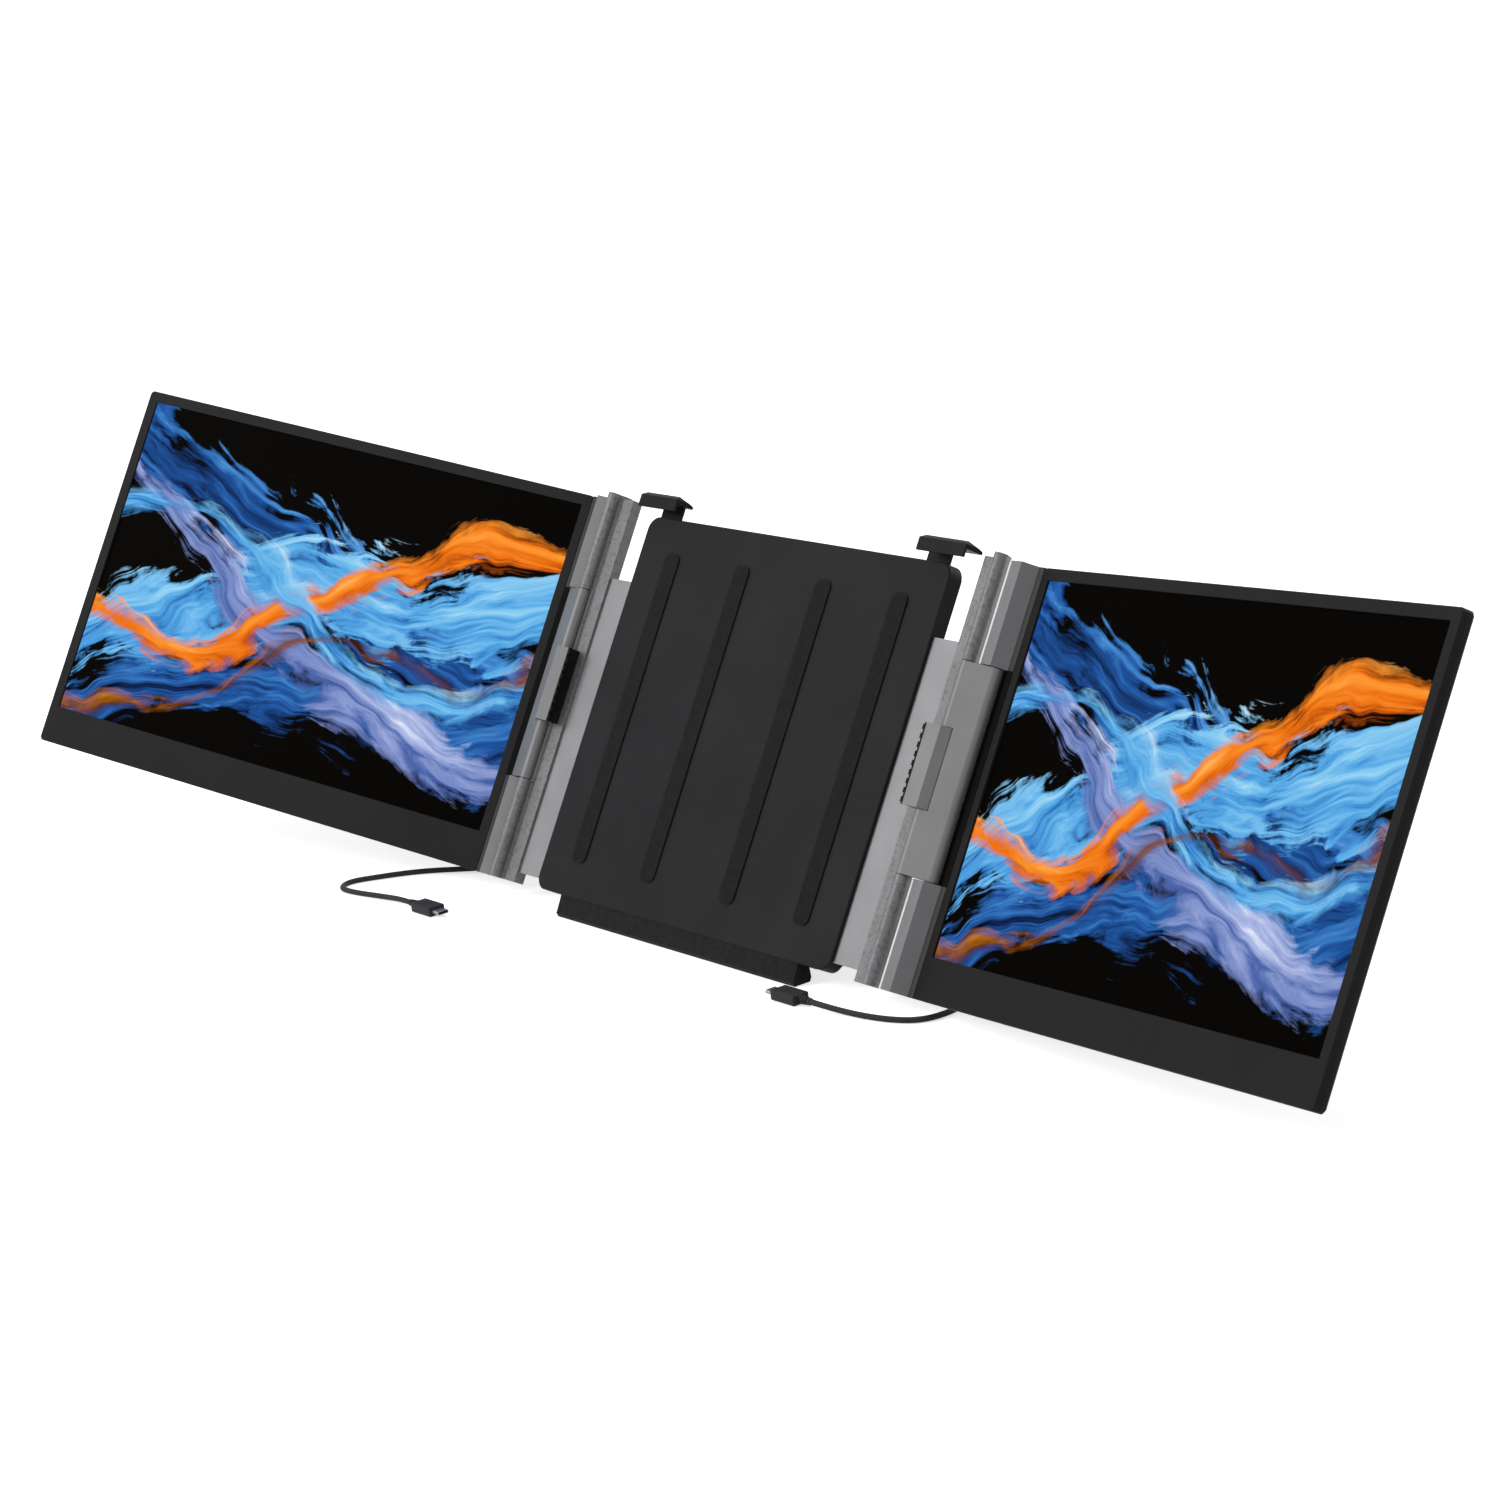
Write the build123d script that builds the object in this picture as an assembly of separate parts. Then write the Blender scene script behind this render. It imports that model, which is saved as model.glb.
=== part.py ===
from build123d import *
import os
from math import cos, pi, radians, sin, sqrt, tan

# Laptop screen extender: a frame that stands behind a laptop's open lid, with one screen
# hinged on each side of it. Millimetres and degrees.
#
# Every piece that leans is drawn upright first: x runs along the laptop's hinge line, y runs
# backward through the lid and z runs up the lid. The lid's front face is y = 0 and its bottom
# edge is z = 0. LEANING then tips the whole frame back over its foot, whose sole is at the origin.

# ------------------------------------------------------------------ laptop lid and stance
LID_WIDTH = 357.0
LID_HEIGHT = 244.5
LID_THICKNESS = 6.5
LEAN = 29.9                    # the lid's lean back from upright
STANCE_BACK = -3.0             # the lid's bottom front edge, behind the middle of the sole
STANCE_LIFT = 28.0             # and above it

# ------------------------------------------------------------------ centre frame
FRAME_WIDTH = 296.0
FRAME_BOTTOM = -12.0
FRAME_TOP = 236.0
FRAME_DEPTH = 12.0
FRAME_CORNER = 9.0
FRONT_SHELL_DEPTH = 5.2
WALL = 1.6
PAD_THICKNESS = 1.0
PAD_WIDTH = 14.0
PAD_PLACES = (-112, -40, 40, 112)
PAD_MARGIN = 22.0              # pads, from the frame's top and bottom
TOP_BOSS_PLACES = (44, 96)     # upper row of screws, from the middle
TOP_BOSS_RISE = 20.0           # and above the slide plates
LID_CLEARANCE = 0.3
CHASSIS_THICKNESS = 0.8
BOARD_STANDOFF_X = 22.0        # the hub board's standoffs
BOARD_STANDOFF_Z = (44.0, 126.0)
HUB_WIDTH = 56.0
HUB_HEIGHT = 96.0
HUB_THICKNESS = 1.2

# ------------------------------------------------------------------ side brackets
SLIDE_PLATE_THICKNESS = 2.4
SLIDE_PLATE_BOTTOM = -6.0
SLIDE_PLATE_TOP = 192.0
SLIDE_PLATE_INNER = 62.0       # its inner end, from the middle
SLIDE_PLATE_TENON = 7.0
SLIDE_IN = 18.5                # travel for a narrower lid
SLIDE_OUT = 21.5               # travel for a wider lid
SLIDE_GAP = 0.15
BAR_INNER = 172.0
BAR_WIDTH = 12.7
BAR_FRONT = 8.5
BAR_DEPTH = 8.5
BAR_TOP = LID_HEIGHT - 0.5     # passes under the top clips
POST_RADIUS = 3.0
POST_REACH = 120.0             # guide posts, from the middle
POST_HEIGHTS = (36.0, 150.0)

# ------------------------------------------------------------------ double hinge
HINGE_RADIUS = 4.2
INNER_AXIS = (189.2, 5.2)      # bracket to link
LINK_PITCH = 18.9              # inner axis to outer axis
LINK_ANGLE = 20.2              # the link's rest angle, backward from the frame's plane
LINK_BOTTOM = 53.0
LINK_TOP = 181.0
KNUCKLE_GAP = 0.6
WASHER_THICKNESS = 0.5
WASHER_RADIUS = 3.6
PIN_RADIUS = 2.0
RUNNING_GAP = 0.05
CRADLE_GAP = 0.4               # between the link's barrel and the bracket behind it
CRADLE_LIP = 1.5
HINGE_TOP = 246.0

# ------------------------------------------------------------------ lid jaw
JAW_BOTTOM = 92.0
JAW_TOP = 141.0
JAW_LIP = 1.2
JAW_RADIUS = 6.3
JAW_WALL_INNER = 180.5
JAW_GAP = 0.6                  # between the jaw and the link that turns round it
LIP_INNER = 177.6
RUBBER_TEETH = 9
JAW_CORNER_DROP = 2.3          # where the round wall ends, in front of the inner axis
JAW_ARC_MIDDLE = 35.0

# ------------------------------------------------------------------ screens
SCREEN_WIDTH = 382.0
SCREEN_HEIGHT = 256.2
SCREEN_BOTTOM = -12.8
SCREEN_THICKNESS = 9.0
SCREEN_INSET = 11.6            # outer axis to the screen's inner edge
SCREEN_FRONT = 3.6             # outer axis to the screen's front face
RIGHT_FOLD = 10.3              # rest angles, forward from the frame's plane
LEFT_FOLD = 20.6
BEZEL_SIDE = 7.0
BEZEL_OUTER = 7.5
BEZEL_TOP = 7.2
BEZEL_BOTTOM = 25.5
BEZEL_FACE = 1.6
BEZEL_DEPTH = 4.2
PANEL_BORDER = 3.0
PANEL_THICKNESS = 1.2
BACKLIGHT_THICKNESS = 2.4
COVER_WALL = 1.4
COVER_BEVEL = 2.2
LEAF_THICKNESS = 1.6
LEAF_LENGTH = 46.0
ARM_NOSE = 11.6                # reach of the arm's front edge towards the frame
ARM_FRONT = 6.4
ARM_RIDGE = 2.2
ARM_SHOULDER = 6.4
ARM_CORNER = 1.4
EDGE_TRIM_REACH = 6.4          # the strip that closes a screen's edge beside the link
EDGE_TRIM_GAP = 0.2
BUTTON_TRAVEL = 0.6
BUTTON_RADIUS = 4.0
BUTTON_FLANGE = 5.0
POWER_PLACE = 310.0            # button centres, from the outer axis
MENU_PLACE = 334.0
BUTTON_HEIGHT = 2.0

# ------------------------------------------------------------------ kickstand
STAND_WIDTH = 150.0
STAND_THICKNESS = 2.6
STAND_HINGE_HEIGHT = 125.0
STAND_OPEN = 46.6              # rest angle, from the frame's back
STAND_BARREL = 2.3
STAND_PIN_RADIUS = 1.2
STAND_STATION = 56.0           # hinge stations, from the middle
STAND_BARREL_LENGTH = 11.4
STAND_LUG_LENGTH = 6.0
STAND_GAP = 0.3
STAND_FOOT_RADIUS = 2.3
RECESS_DEPTH = 3.8

# ------------------------------------------------------------------ top clips
CLIP_INSETS = {"left": 15.0, "right": 4.0}     # a clip's middle, in from the frame's edge
CLIP_WIDTHS = {"left": 38.0, "right": 42.0}
CLIP_STRAP_INSET = 17.0
CLIP_STRAP_WIDTH = 20.0
CLIP_STRAP_THICKNESS = 2.0
CLIP_STRAP_BOTTOM = 204.0
CLIP_BRIDGE = 5.0              # height over the lid at the front, and at the back
CLIP_BACK_BRIDGE = 2.0
CLIP_DROP = 5.0
CLIP_LIP = 1.6

# ------------------------------------------------------------------ foot
FOOT_WIDTH = 240.0
SOLE_DEPTH = 14.0
FOOT_SEAT_MARGIN = 0.8

# ------------------------------------------------------------------ ports, plugs and cables
PORT_FACE = 116.0
PORT_DEPTH = 8.2
PORT_LENGTH = 24.0
PORT_HEIGHT = 23.0
SOCKET_WIDTH = 9.2
SOCKET_THICKNESS = 3.6
SOCKET_LENGTH = 9.0
SHEET_METAL = 0.3
PLUG_SHELL_WIDTH = 8.3
PLUG_SHELL_THICKNESS = 2.5
PLUG_SHELL_LENGTH = 6.6
PLUG_BODY_WIDTH = 12.0
PLUG_BODY_THICKNESS = 6.4
PLUG_BODY_LENGTH = 22.0
RELIEF_LENGTH = 9.0
CABLE_DIAMETER = 3.6
COIL_RADIUS = 20.0             # to the middle of the wound turns
COIL_LAYERS = 2
COIL_COLUMNS = 3
COIL_STUB = 16.0
COIL_CENTRE = (210.0, 80.0)

# ------------------------------------------------------------------ places that follow
SIDES = {"left": -1, "right": 1}
CLIP_STRAP_CENTRE = FRAME_WIDTH / 2 - CLIP_STRAP_INSET
CLIP_CENTRES = {side: sign * (FRAME_WIDTH / 2 - CLIP_INSETS[side]) for side, sign in SIDES.items()}
FOLD = {"left": LEFT_FOLD, "right": RIGHT_FOLD}
FRAME_HEIGHT = FRAME_TOP - FRAME_BOTTOM
FRAME_FRONT = LID_THICKNESS + LID_CLEARANCE + PAD_THICKNESS
FRAME_BACK = FRAME_FRONT + FRAME_DEPTH
SHELL_SPLIT = FRAME_FRONT + FRONT_SHELL_DEPTH
PLATE_FRONT = FRAME_FRONT + WALL + 0.8
PLATE_BACK = PLATE_FRONT + SLIDE_PLATE_THICKNESS
CHASSIS_FRONT = PLATE_BACK + 0.8
CHASSIS_BACK = CHASSIS_FRONT + CHASSIS_THICKNESS
RECESS_FLOOR = FRAME_BACK - RECESS_DEPTH
BAR_OUTER = BAR_INNER + BAR_WIDTH
BAR_BACK = BAR_FRONT + BAR_DEPTH
KNUCKLE_BOTTOM_TOP = LINK_BOTTOM - KNUCKLE_GAP / 2
KNUCKLE_TOP_BOTTOM = LINK_TOP + KNUCKLE_GAP / 2
OUTER_AXIS = (INNER_AXIS[0] + LINK_PITCH * cos(radians(LINK_ANGLE)),
              INNER_AXIS[1] + LINK_PITCH * sin(radians(LINK_ANGLE)))
SCREEN_TOP = SCREEN_BOTTOM + SCREEN_HEIGHT
SCREEN_OUTER = SCREEN_INSET + SCREEN_WIDTH
SCREEN_BACK = SCREEN_FRONT + SCREEN_THICKNESS
PANEL_FRONT = SCREEN_FRONT + BEZEL_FACE
BACKLIGHT_FRONT = PANEL_FRONT + PANEL_THICKNESS
SEAM = SCREEN_FRONT + BEZEL_DEPTH
LEAF_BACK = SCREEN_BACK - COVER_WALL
STAND_AXIS_Y = FRAME_BACK - STAND_THICKNESS / 2
STAND_BACK_ANGLE = STAND_OPEN - LEAN
STAND_PIN_REACH = STAND_BARREL_LENGTH / 2 + STAND_GAP + STAND_LUG_LENGTH
PORT_Y = FRAME_BACK + PORT_DEPTH / 2
PORT_Z = FRAME_BOTTOM + PORT_HEIGHT / 2

LEANING = Pos(0, STANCE_BACK, STANCE_LIFT) * Rot(X=-LEAN)


def leaning_point(x, y, z):
    """A point of the upright drawing, where it stands once the frame leans."""
    back = STANCE_BACK + y * cos(radians(LEAN)) + z * sin(radians(LEAN))
    up = STANCE_LIFT - y * sin(radians(LEAN)) + z * cos(radians(LEAN))
    return (x, back, up)


# ------------------------------------------------------------------ drawing helpers
def plate(width, height, depth, corner=0.0, x=0.0, y=0.0, z=0.0):
    """A plate facing forward: centred on x, front face at y, bottom edge at z."""
    place = Plane(origin=(x, y, z + height / 2), x_dir=(1, 0, 0), z_dir=(0, 1, 0))
    if corner:
        return extrude(place * RectangleRounded(width, height, corner), depth)
    return extrude(place * Rectangle(width, height), depth)


def block(x0, x1, y0, y1, z0, z1):
    """A square block between three pairs of planes."""
    return Pos((x0 + x1) / 2, (y0 + y1) / 2, (z0 + z1) / 2) * Box(x1 - x0, y1 - y0, z1 - z0)


def round_bar(radius, x, y, z0, z1):
    """An upright cylinder."""
    return Pos(x, y, (z0 + z1) / 2) * Cylinder(radius, z1 - z0)


def cross_bar(radius, x0, x1, y, z):
    """A cylinder along x."""
    return Pos((x0 + x1) / 2, y, z) * Rot(Y=90) * Cylinder(radius, x1 - x0)


def depth_bar(radius, x, z, y0, y1):
    """A cylinder along y."""
    return Pos(x, (y0 + y1) / 2, z) * Rot(X=90) * Cylinder(radius, y1 - y0)


def prism(outline, z0, z1):
    """An upright prism on a flat outline."""
    return Pos(0, 0, z0) * extrude(outline, z1 - z0)


def outline(*points):
    return make_face(Polyline(*points, close=True))


def on_side(side, piece):
    """A piece drawn for the right side, or its mirror image."""
    return piece if SIDES[side] > 0 else mirror(piece, about=Plane.YZ)


# ------------------------------------------------------------------ centre frame
def boss_places():
    """Screw bosses of the frame: the guide posts, and a row above the slide plates."""
    places = []
    for sign in (-1, 1):
        for height in POST_HEIGHTS:
            places.append((sign * POST_REACH, height))
        for place in TOP_BOSS_PLACES:
            places.append((sign * place, SLIDE_PLATE_TOP + TOP_BOSS_RISE))
    return places


SCREW_HEAD = 2.4
SCREW_SHANK = 1.2
SCREW_HEAD_DEPTH = 1.2


def screw(x, z, back, length):
    """A countersunk screw driven forward from a back face, with a six-sided socket."""
    head = Pos(x, back - SCREW_HEAD_DEPTH / 2, z) * Rot(X=-90) * Cone(
        SCREW_SHANK, SCREW_HEAD, SCREW_HEAD_DEPTH)
    shank = depth_bar(SCREW_SHANK, x, z, back - length, back - SCREW_HEAD_DEPTH)
    place = Plane(origin=(x, back, z), x_dir=(1, 0, 0), z_dir=(0, 1, 0))
    socket = extrude(place * RegularPolygon(1.1, 6), -0.8)
    return head + shank - socket


def screw_hole(x, z, back, length):
    """The hole that such a screw seats in."""
    head = Pos(x, back - SCREW_HEAD_DEPTH / 2, z) * Rot(X=-90) * Cone(
        SCREW_SHANK, SCREW_HEAD, SCREW_HEAD_DEPTH)
    return head + depth_bar(SCREW_SHANK, x, z, back - length, back - SCREW_HEAD_DEPTH / 2)


FRAME_SCREW_LENGTH = 7.6


def slide_mouths():
    """The slots in the frame's two ends that the slide plates run through."""
    mouth_front = PLATE_FRONT - SLIDE_GAP
    mouth_back = PLATE_BACK + SLIDE_GAP
    cuts = []
    for sign in (-1, 1):
        edge = sign * FRAME_WIDTH / 2
        cuts.append(block(min(edge, edge - sign * 2 * WALL) - 1, max(edge, edge - sign * 2 * WALL) + 1,
                          mouth_front, mouth_back,
                          SLIDE_PLATE_BOTTOM - SLIDE_GAP, SLIDE_PLATE_TOP + SLIDE_GAP))
    return cuts


def clip_mouths():
    """The slots in the frame's top that the clip straps run through."""
    strap_back = PLATE_FRONT + CLIP_STRAP_THICKNESS
    cuts = []
    for sign in (-1, 1):
        middle = sign * CLIP_STRAP_CENTRE
        half = CLIP_STRAP_WIDTH / 2 + SLIDE_GAP
        cuts.append(block(middle - half, middle + half, PLATE_FRONT - SLIDE_GAP,
                          strap_back + SLIDE_GAP, FRAME_TOP - 2 * WALL, FRAME_TOP + 1))
    return cuts


def frame_front_shell():
    """The flat front half of the frame's housing, with its bosses and guide posts."""
    shell = plate(FRAME_WIDTH, FRAME_HEIGHT, FRONT_SHELL_DEPTH, FRAME_CORNER,
                  y=FRAME_FRONT, z=FRAME_BOTTOM)
    front_edges = shell.edges().group_by(Axis.Y)[0]
    shell = chamfer(front_edges, 0.6)
    inside = plate(FRAME_WIDTH - 2 * WALL, FRAME_HEIGHT - 2 * WALL, FRONT_SHELL_DEPTH,
                   FRAME_CORNER - WALL, y=FRAME_FRONT + WALL, z=FRAME_BOTTOM + WALL)
    shell = shell - inside
    for x, z in boss_places():
        shell = shell + depth_bar(POST_RADIUS, x, z, FRAME_FRONT + WALL, CHASSIS_FRONT)
    for x, z in boss_places():
        shell = shell - depth_bar(SCREW_SHANK, x, z, FRAME_FRONT + WALL + 0.4, CHASSIS_FRONT)
    for cut in slide_mouths() + clip_mouths():
        shell = shell - cut
    return shell


def stand_lugs():
    """Lugs on the recess floor that carry the kickstand's pins."""
    lugs = []
    for sign in (-1, 1):
        for step in (-1, 1):
            middle = sign * STAND_STATION + step * (STAND_PIN_REACH - STAND_LUG_LENGTH / 2)
            x0 = middle - STAND_LUG_LENGTH / 2
            x1 = middle + STAND_LUG_LENGTH / 2
            lug = cross_bar(STAND_BARREL, x0, x1, STAND_AXIS_Y, STAND_HINGE_HEIGHT)
            foot = block(x0, x1, RECESS_FLOOR - 0.2, STAND_AXIS_Y,
                         STAND_HINGE_HEIGHT - STAND_BARREL, STAND_HINGE_HEIGHT + STAND_BARREL)
            lugs.append(lug + foot)
    return lugs


def port_housing(sign):
    """The block behind the frame that holds one socket, open towards its own side."""
    inner_end = PORT_FACE - PORT_LENGTH
    x0, x1 = sorted((sign * inner_end, sign * PORT_FACE))
    housing = block(x0, x1, FRAME_BACK - 0.4, FRAME_BACK + PORT_DEPTH,
                    FRAME_BOTTOM, FRAME_BOTTOM + PORT_HEIGHT)
    back_edges = housing.edges().group_by(Axis.Y)[-1]
    housing = chamfer(back_edges, 1.2)
    x2, x3 = sorted((sign * (PORT_FACE - SOCKET_LENGTH), sign * (PORT_FACE + 1)))
    cavity = block(x2, x3, PORT_Y - SOCKET_THICKNESS / 2, PORT_Y + SOCKET_THICKNESS / 2,
                   PORT_Z - SOCKET_WIDTH / 2, PORT_Z + SOCKET_WIDTH / 2)
    return housing - cavity


def frame_back_shell():
    """The back half of the housing: kickstand recess, hinge lugs and the two port blocks."""
    depth = FRAME_BACK - SHELL_SPLIT
    shell = plate(FRAME_WIDTH, FRAME_HEIGHT, depth, FRAME_CORNER, y=SHELL_SPLIT, z=FRAME_BOTTOM)
    back_edges = shell.edges().group_by(Axis.Y)[-1]
    shell = chamfer(back_edges, 1.8)
    inside = plate(FRAME_WIDTH - 2 * WALL, FRAME_HEIGHT - 2 * WALL, depth - WALL,
                   FRAME_CORNER - WALL, y=SHELL_SPLIT, z=FRAME_BOTTOM + WALL)
    shell = shell - inside
    recess_width = STAND_WIDTH + 4
    recess_bottom = FRAME_BOTTOM + 3
    recess_height = STAND_HINGE_HEIGHT + STAND_BARREL + 1.2 - recess_bottom
    floor = 1.2
    tray = plate(recess_width + 2 * WALL, recess_height + WALL, FRAME_BACK - RECESS_FLOOR + floor - 0.8,
                 y=RECESS_FLOOR - floor, z=recess_bottom)
    shell = shell + tray
    shell = shell - plate(recess_width, recess_height, RECESS_DEPTH + 1, 4.0, y=RECESS_FLOOR,
                          z=recess_bottom)
    finger_notch = plate(34, 9, RECESS_DEPTH + 1, 4.0, y=RECESS_FLOOR + 1.0, z=FRAME_BOTTOM - 3)
    shell = shell - finger_notch
    for lug in stand_lugs():
        shell = shell + lug
    for sign in (-1, 1):
        x0 = sign * STAND_STATION - STAND_PIN_REACH
        x1 = sign * STAND_STATION + STAND_PIN_REACH
        pin_hole = cross_bar(STAND_PIN_RADIUS + RUNNING_GAP, x0, x1, STAND_AXIS_Y, STAND_HINGE_HEIGHT)
        shell = shell - pin_hole + port_housing(sign)
    for x, z in boss_places():
        shell = shell + depth_bar(POST_RADIUS + 0.6, x, z, CHASSIS_BACK, FRAME_BACK - WALL)
    for x, z in boss_places():
        shell = shell - screw_hole(x, z, FRAME_BACK, FRAME_SCREW_LENGTH)
    for cut in slide_mouths() + clip_mouths():
        shell = shell - cut
    return shell


def chassis_plate():
    """The pressed steel plate between the slide plates and the back shell."""
    margin = WALL + 1.2
    sheet = plate(FRAME_WIDTH - 2 * margin, FRAME_HEIGHT - 2 * margin, CHASSIS_THICKNESS, 7.0,
                  y=CHASSIS_FRONT, z=FRAME_BOTTOM + margin)
    for x, z in boss_places():
        sheet = sheet - depth_bar(SCREW_SHANK, x, z, CHASSIS_FRONT - 1, CHASSIS_BACK + 1)
    for sign in (-1, 1):
        window = plate(46, 52, 4, 6.0, x=sign * 78, y=CHASSIS_FRONT - 1, z=66)
        sheet = sheet - window
    for x in (-BOARD_STANDOFF_X, BOARD_STANDOFF_X):
        for z in BOARD_STANDOFF_Z:
            sheet = sheet + depth_bar(2.4, x, z, PLATE_BACK + 0.2, CHASSIS_FRONT)
    return sheet


def slide_rails():
    """Plastic guide strips above and below each slide plate, seated on the chassis."""
    strips = []
    strip_height = 3.2
    for sign in (-1, 1):
        x0, x1 = sorted((sign * (SLIDE_PLATE_INNER + 4), sign * (FRAME_WIDTH / 2 - FRAME_CORNER)))
        below = SLIDE_PLATE_BOTTOM - SLIDE_GAP
        above = SLIDE_PLATE_TOP + SLIDE_GAP
        strips.append(block(x0, x1, FRAME_FRONT + WALL, CHASSIS_FRONT, below - strip_height, below))
        strips.append(block(x0, x1, FRAME_FRONT + WALL, CHASSIS_FRONT, above, above + strip_height))
    return Compound(children=strips)


def lid_pads():
    """Silicone strips that the back of the laptop's lid rests on."""
    pad_height = FRAME_HEIGHT - 2 * PAD_MARGIN
    strips = []
    for x in PAD_PLACES:
        strips.append(plate(PAD_WIDTH, pad_height, PAD_THICKNESS, 5.0, x=x,
                            y=FRAME_FRONT - PAD_THICKNESS, z=FRAME_BOTTOM + PAD_MARGIN))
    return Compound(children=strips)


def frame_screws():
    return Compound(children=[screw(x, z, FRAME_BACK, FRAME_SCREW_LENGTH) for x, z in boss_places()])


def driver_board():
    """The hub board in the middle of the frame, on the chassis's four standoffs."""
    board_back = PLATE_BACK + 0.2
    board_bottom = (sum(BOARD_STANDOFF_Z) - HUB_HEIGHT) / 2
    board = plate(HUB_WIDTH, HUB_HEIGHT, HUB_THICKNESS, 2.0, y=board_back - HUB_THICKNESS, z=board_bottom)
    for x, z, width, height in ((-10, 96, 16, 16), (14, 96, 12, 12), (0, 64, 20, 10), (-14, 48, 8, 8)):
        board = board + plate(width, height, 1.1, x=x, y=board_back - 2.2, z=z)
    return board


def port_sockets():
    """Two metal socket shells with their tongues, one in each port block."""
    sockets = []
    for sign in (-1, 1):
        x0, x1 = sorted((sign * (PORT_FACE - SOCKET_LENGTH), sign * PORT_FACE))
        shell = block(x0, x1, PORT_Y - SOCKET_THICKNESS / 2, PORT_Y + SOCKET_THICKNESS / 2,
                      PORT_Z - SOCKET_WIDTH / 2, PORT_Z + SOCKET_WIDTH / 2)
        x2, x3 = sorted((sign * (PORT_FACE - SOCKET_LENGTH + 1), sign * (PORT_FACE + 1)))
        mouth_y = SOCKET_THICKNESS / 2 - SHEET_METAL
        mouth_z = SOCKET_WIDTH / 2 - SHEET_METAL
        mouth = block(x2, x3, PORT_Y - mouth_y, PORT_Y + mouth_y, PORT_Z - mouth_z, PORT_Z + mouth_z)
        x4, x5 = sorted((sign * (PORT_FACE - SOCKET_LENGTH + 0.5), sign * (PORT_FACE - 1.5)))
        tongue = block(x4, x5, PORT_Y - 0.35, PORT_Y + 0.35, PORT_Z - 3.2, PORT_Z + 3.2)
        sockets.append(shell - mouth + tongue)
    return Compound(children=sockets)


def desk_foot():
    """The rubber foot under the frame: a wedge with a flat sole, drawn standing."""
    seat_front = leaning_point(0, FRAME_FRONT + FOOT_SEAT_MARGIN, FRAME_BOTTOM)
    seat_back = leaning_point(0, FRAME_BACK - FOOT_SEAT_MARGIN - 1.2, FRAME_BOTTOM)
    half = SOLE_DEPTH / 2
    side = Plane.YZ.offset(-FOOT_WIDTH / 2) * outline(
        (seat_front[1], seat_front[2]), (seat_back[1], seat_back[2]),
        (half, 2.5), (half - 1.2, 0), (-half + 1.2, 0), (-half, 2.5))
    foot = extrude(side, FOOT_WIDTH)
    groove = block(-FOOT_WIDTH / 2 + 8, FOOT_WIDTH / 2 - 8, -0.8, 0.8, 0, 0.8)
    return foot - Pos(0, 3.2, 0) * groove - Pos(0, -3.2, 0) * groove


# ------------------------------------------------------------------ kickstand
def leg_reach():
    """Hinge to the middle of the foot strip, so that the strip just meets the table."""
    hinge_height = leaning_point(0, STAND_AXIS_Y, STAND_HINGE_HEIGHT)[2]
    return (hinge_height - STAND_FOOT_RADIUS) / cos(radians(STAND_BACK_ANGLE))


STAND_PLACE = Pos(*leaning_point(0, STAND_AXIS_Y, STAND_HINGE_HEIGHT)) * Rot(X=STAND_BACK_ANGLE)


def kickstand_plate():
    """The leg, drawn hanging from its hinge: barrels, lug clearances, dished panel."""
    reach = leg_reach() - STAND_FOOT_RADIUS * 0.6
    leg = plate(STAND_WIDTH, reach, STAND_THICKNESS, y=-STAND_THICKNESS / 2, z=-reach)
    corners = leg.edges().filter_by(Axis.Y).sort_by(Axis.Z)[:2]
    leg = chamfer(corners, 10, 16)
    leg = leg - plate(STAND_WIDTH - 30, reach - 52, 0.7, 10.0, y=STAND_THICKNESS / 2 - 0.7, z=-reach + 22)
    leg = leg - plate(STAND_WIDTH - 60, 7, STAND_THICKNESS + 1, 3.4,
                      y=-STAND_THICKNESS / 2 - 0.5, z=-reach + 96)
    top_gap = STAND_BARREL + 0.6
    leg = leg - plate(STAND_WIDTH + 2, top_gap + 4, STAND_THICKNESS + 1,
                      y=-STAND_THICKNESS / 2 - 0.5, z=-top_gap)
    for sign in (-1, 1):
        x = sign * STAND_STATION
        x0 = x - STAND_BARREL_LENGTH / 2
        x1 = x + STAND_BARREL_LENGTH / 2
        barrel = cross_bar(STAND_BARREL, x0, x1, 0, 0)
        neck = block(x0, x1, -STAND_THICKNESS / 2, STAND_THICKNESS / 2, -top_gap - 1, 0)
        leg = leg + barrel + neck
        leg = leg - cross_bar(STAND_PIN_RADIUS + RUNNING_GAP, x0 - 1, x1 + 1, 0, 0)
    return leg


def kickstand_foot():
    """The rubber strip on the leg's lower edge."""
    reach = leg_reach()
    half = STAND_WIDTH / 2 - 18
    strip = cross_bar(STAND_FOOT_RADIUS, -half, half, 0, -reach)
    lower_edge = -reach + STAND_FOOT_RADIUS * 0.6
    slot = block(-half, half, -STAND_THICKNESS / 2, STAND_THICKNESS / 2, lower_edge, -reach + 5)
    return strip - slot


def kickstand_pins():
    return Compound(children=[cross_bar(STAND_PIN_RADIUS, sign * STAND_STATION - STAND_PIN_REACH,
                                        sign * STAND_STATION + STAND_PIN_REACH,
                                        STAND_AXIS_Y, STAND_HINGE_HEIGHT) for sign in (-1, 1)])


# ------------------------------------------------------------------ side brackets
def knuckle_section():
    """The frame-side hinge barrel with the web that ties it to the bar."""
    x, y = INNER_AXIS
    web = outline((BAR_OUTER - 0.5, BAR_FRONT), (x, y), (x + HINGE_RADIUS * 0.8, y + HINGE_RADIUS * 0.6),
                  (x - 0.4, BAR_BACK - 3), (BAR_OUTER - 0.5, BAR_BACK - 0.5))
    return Pos(x, y) * Circle(HINGE_RADIUS) + web


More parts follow.
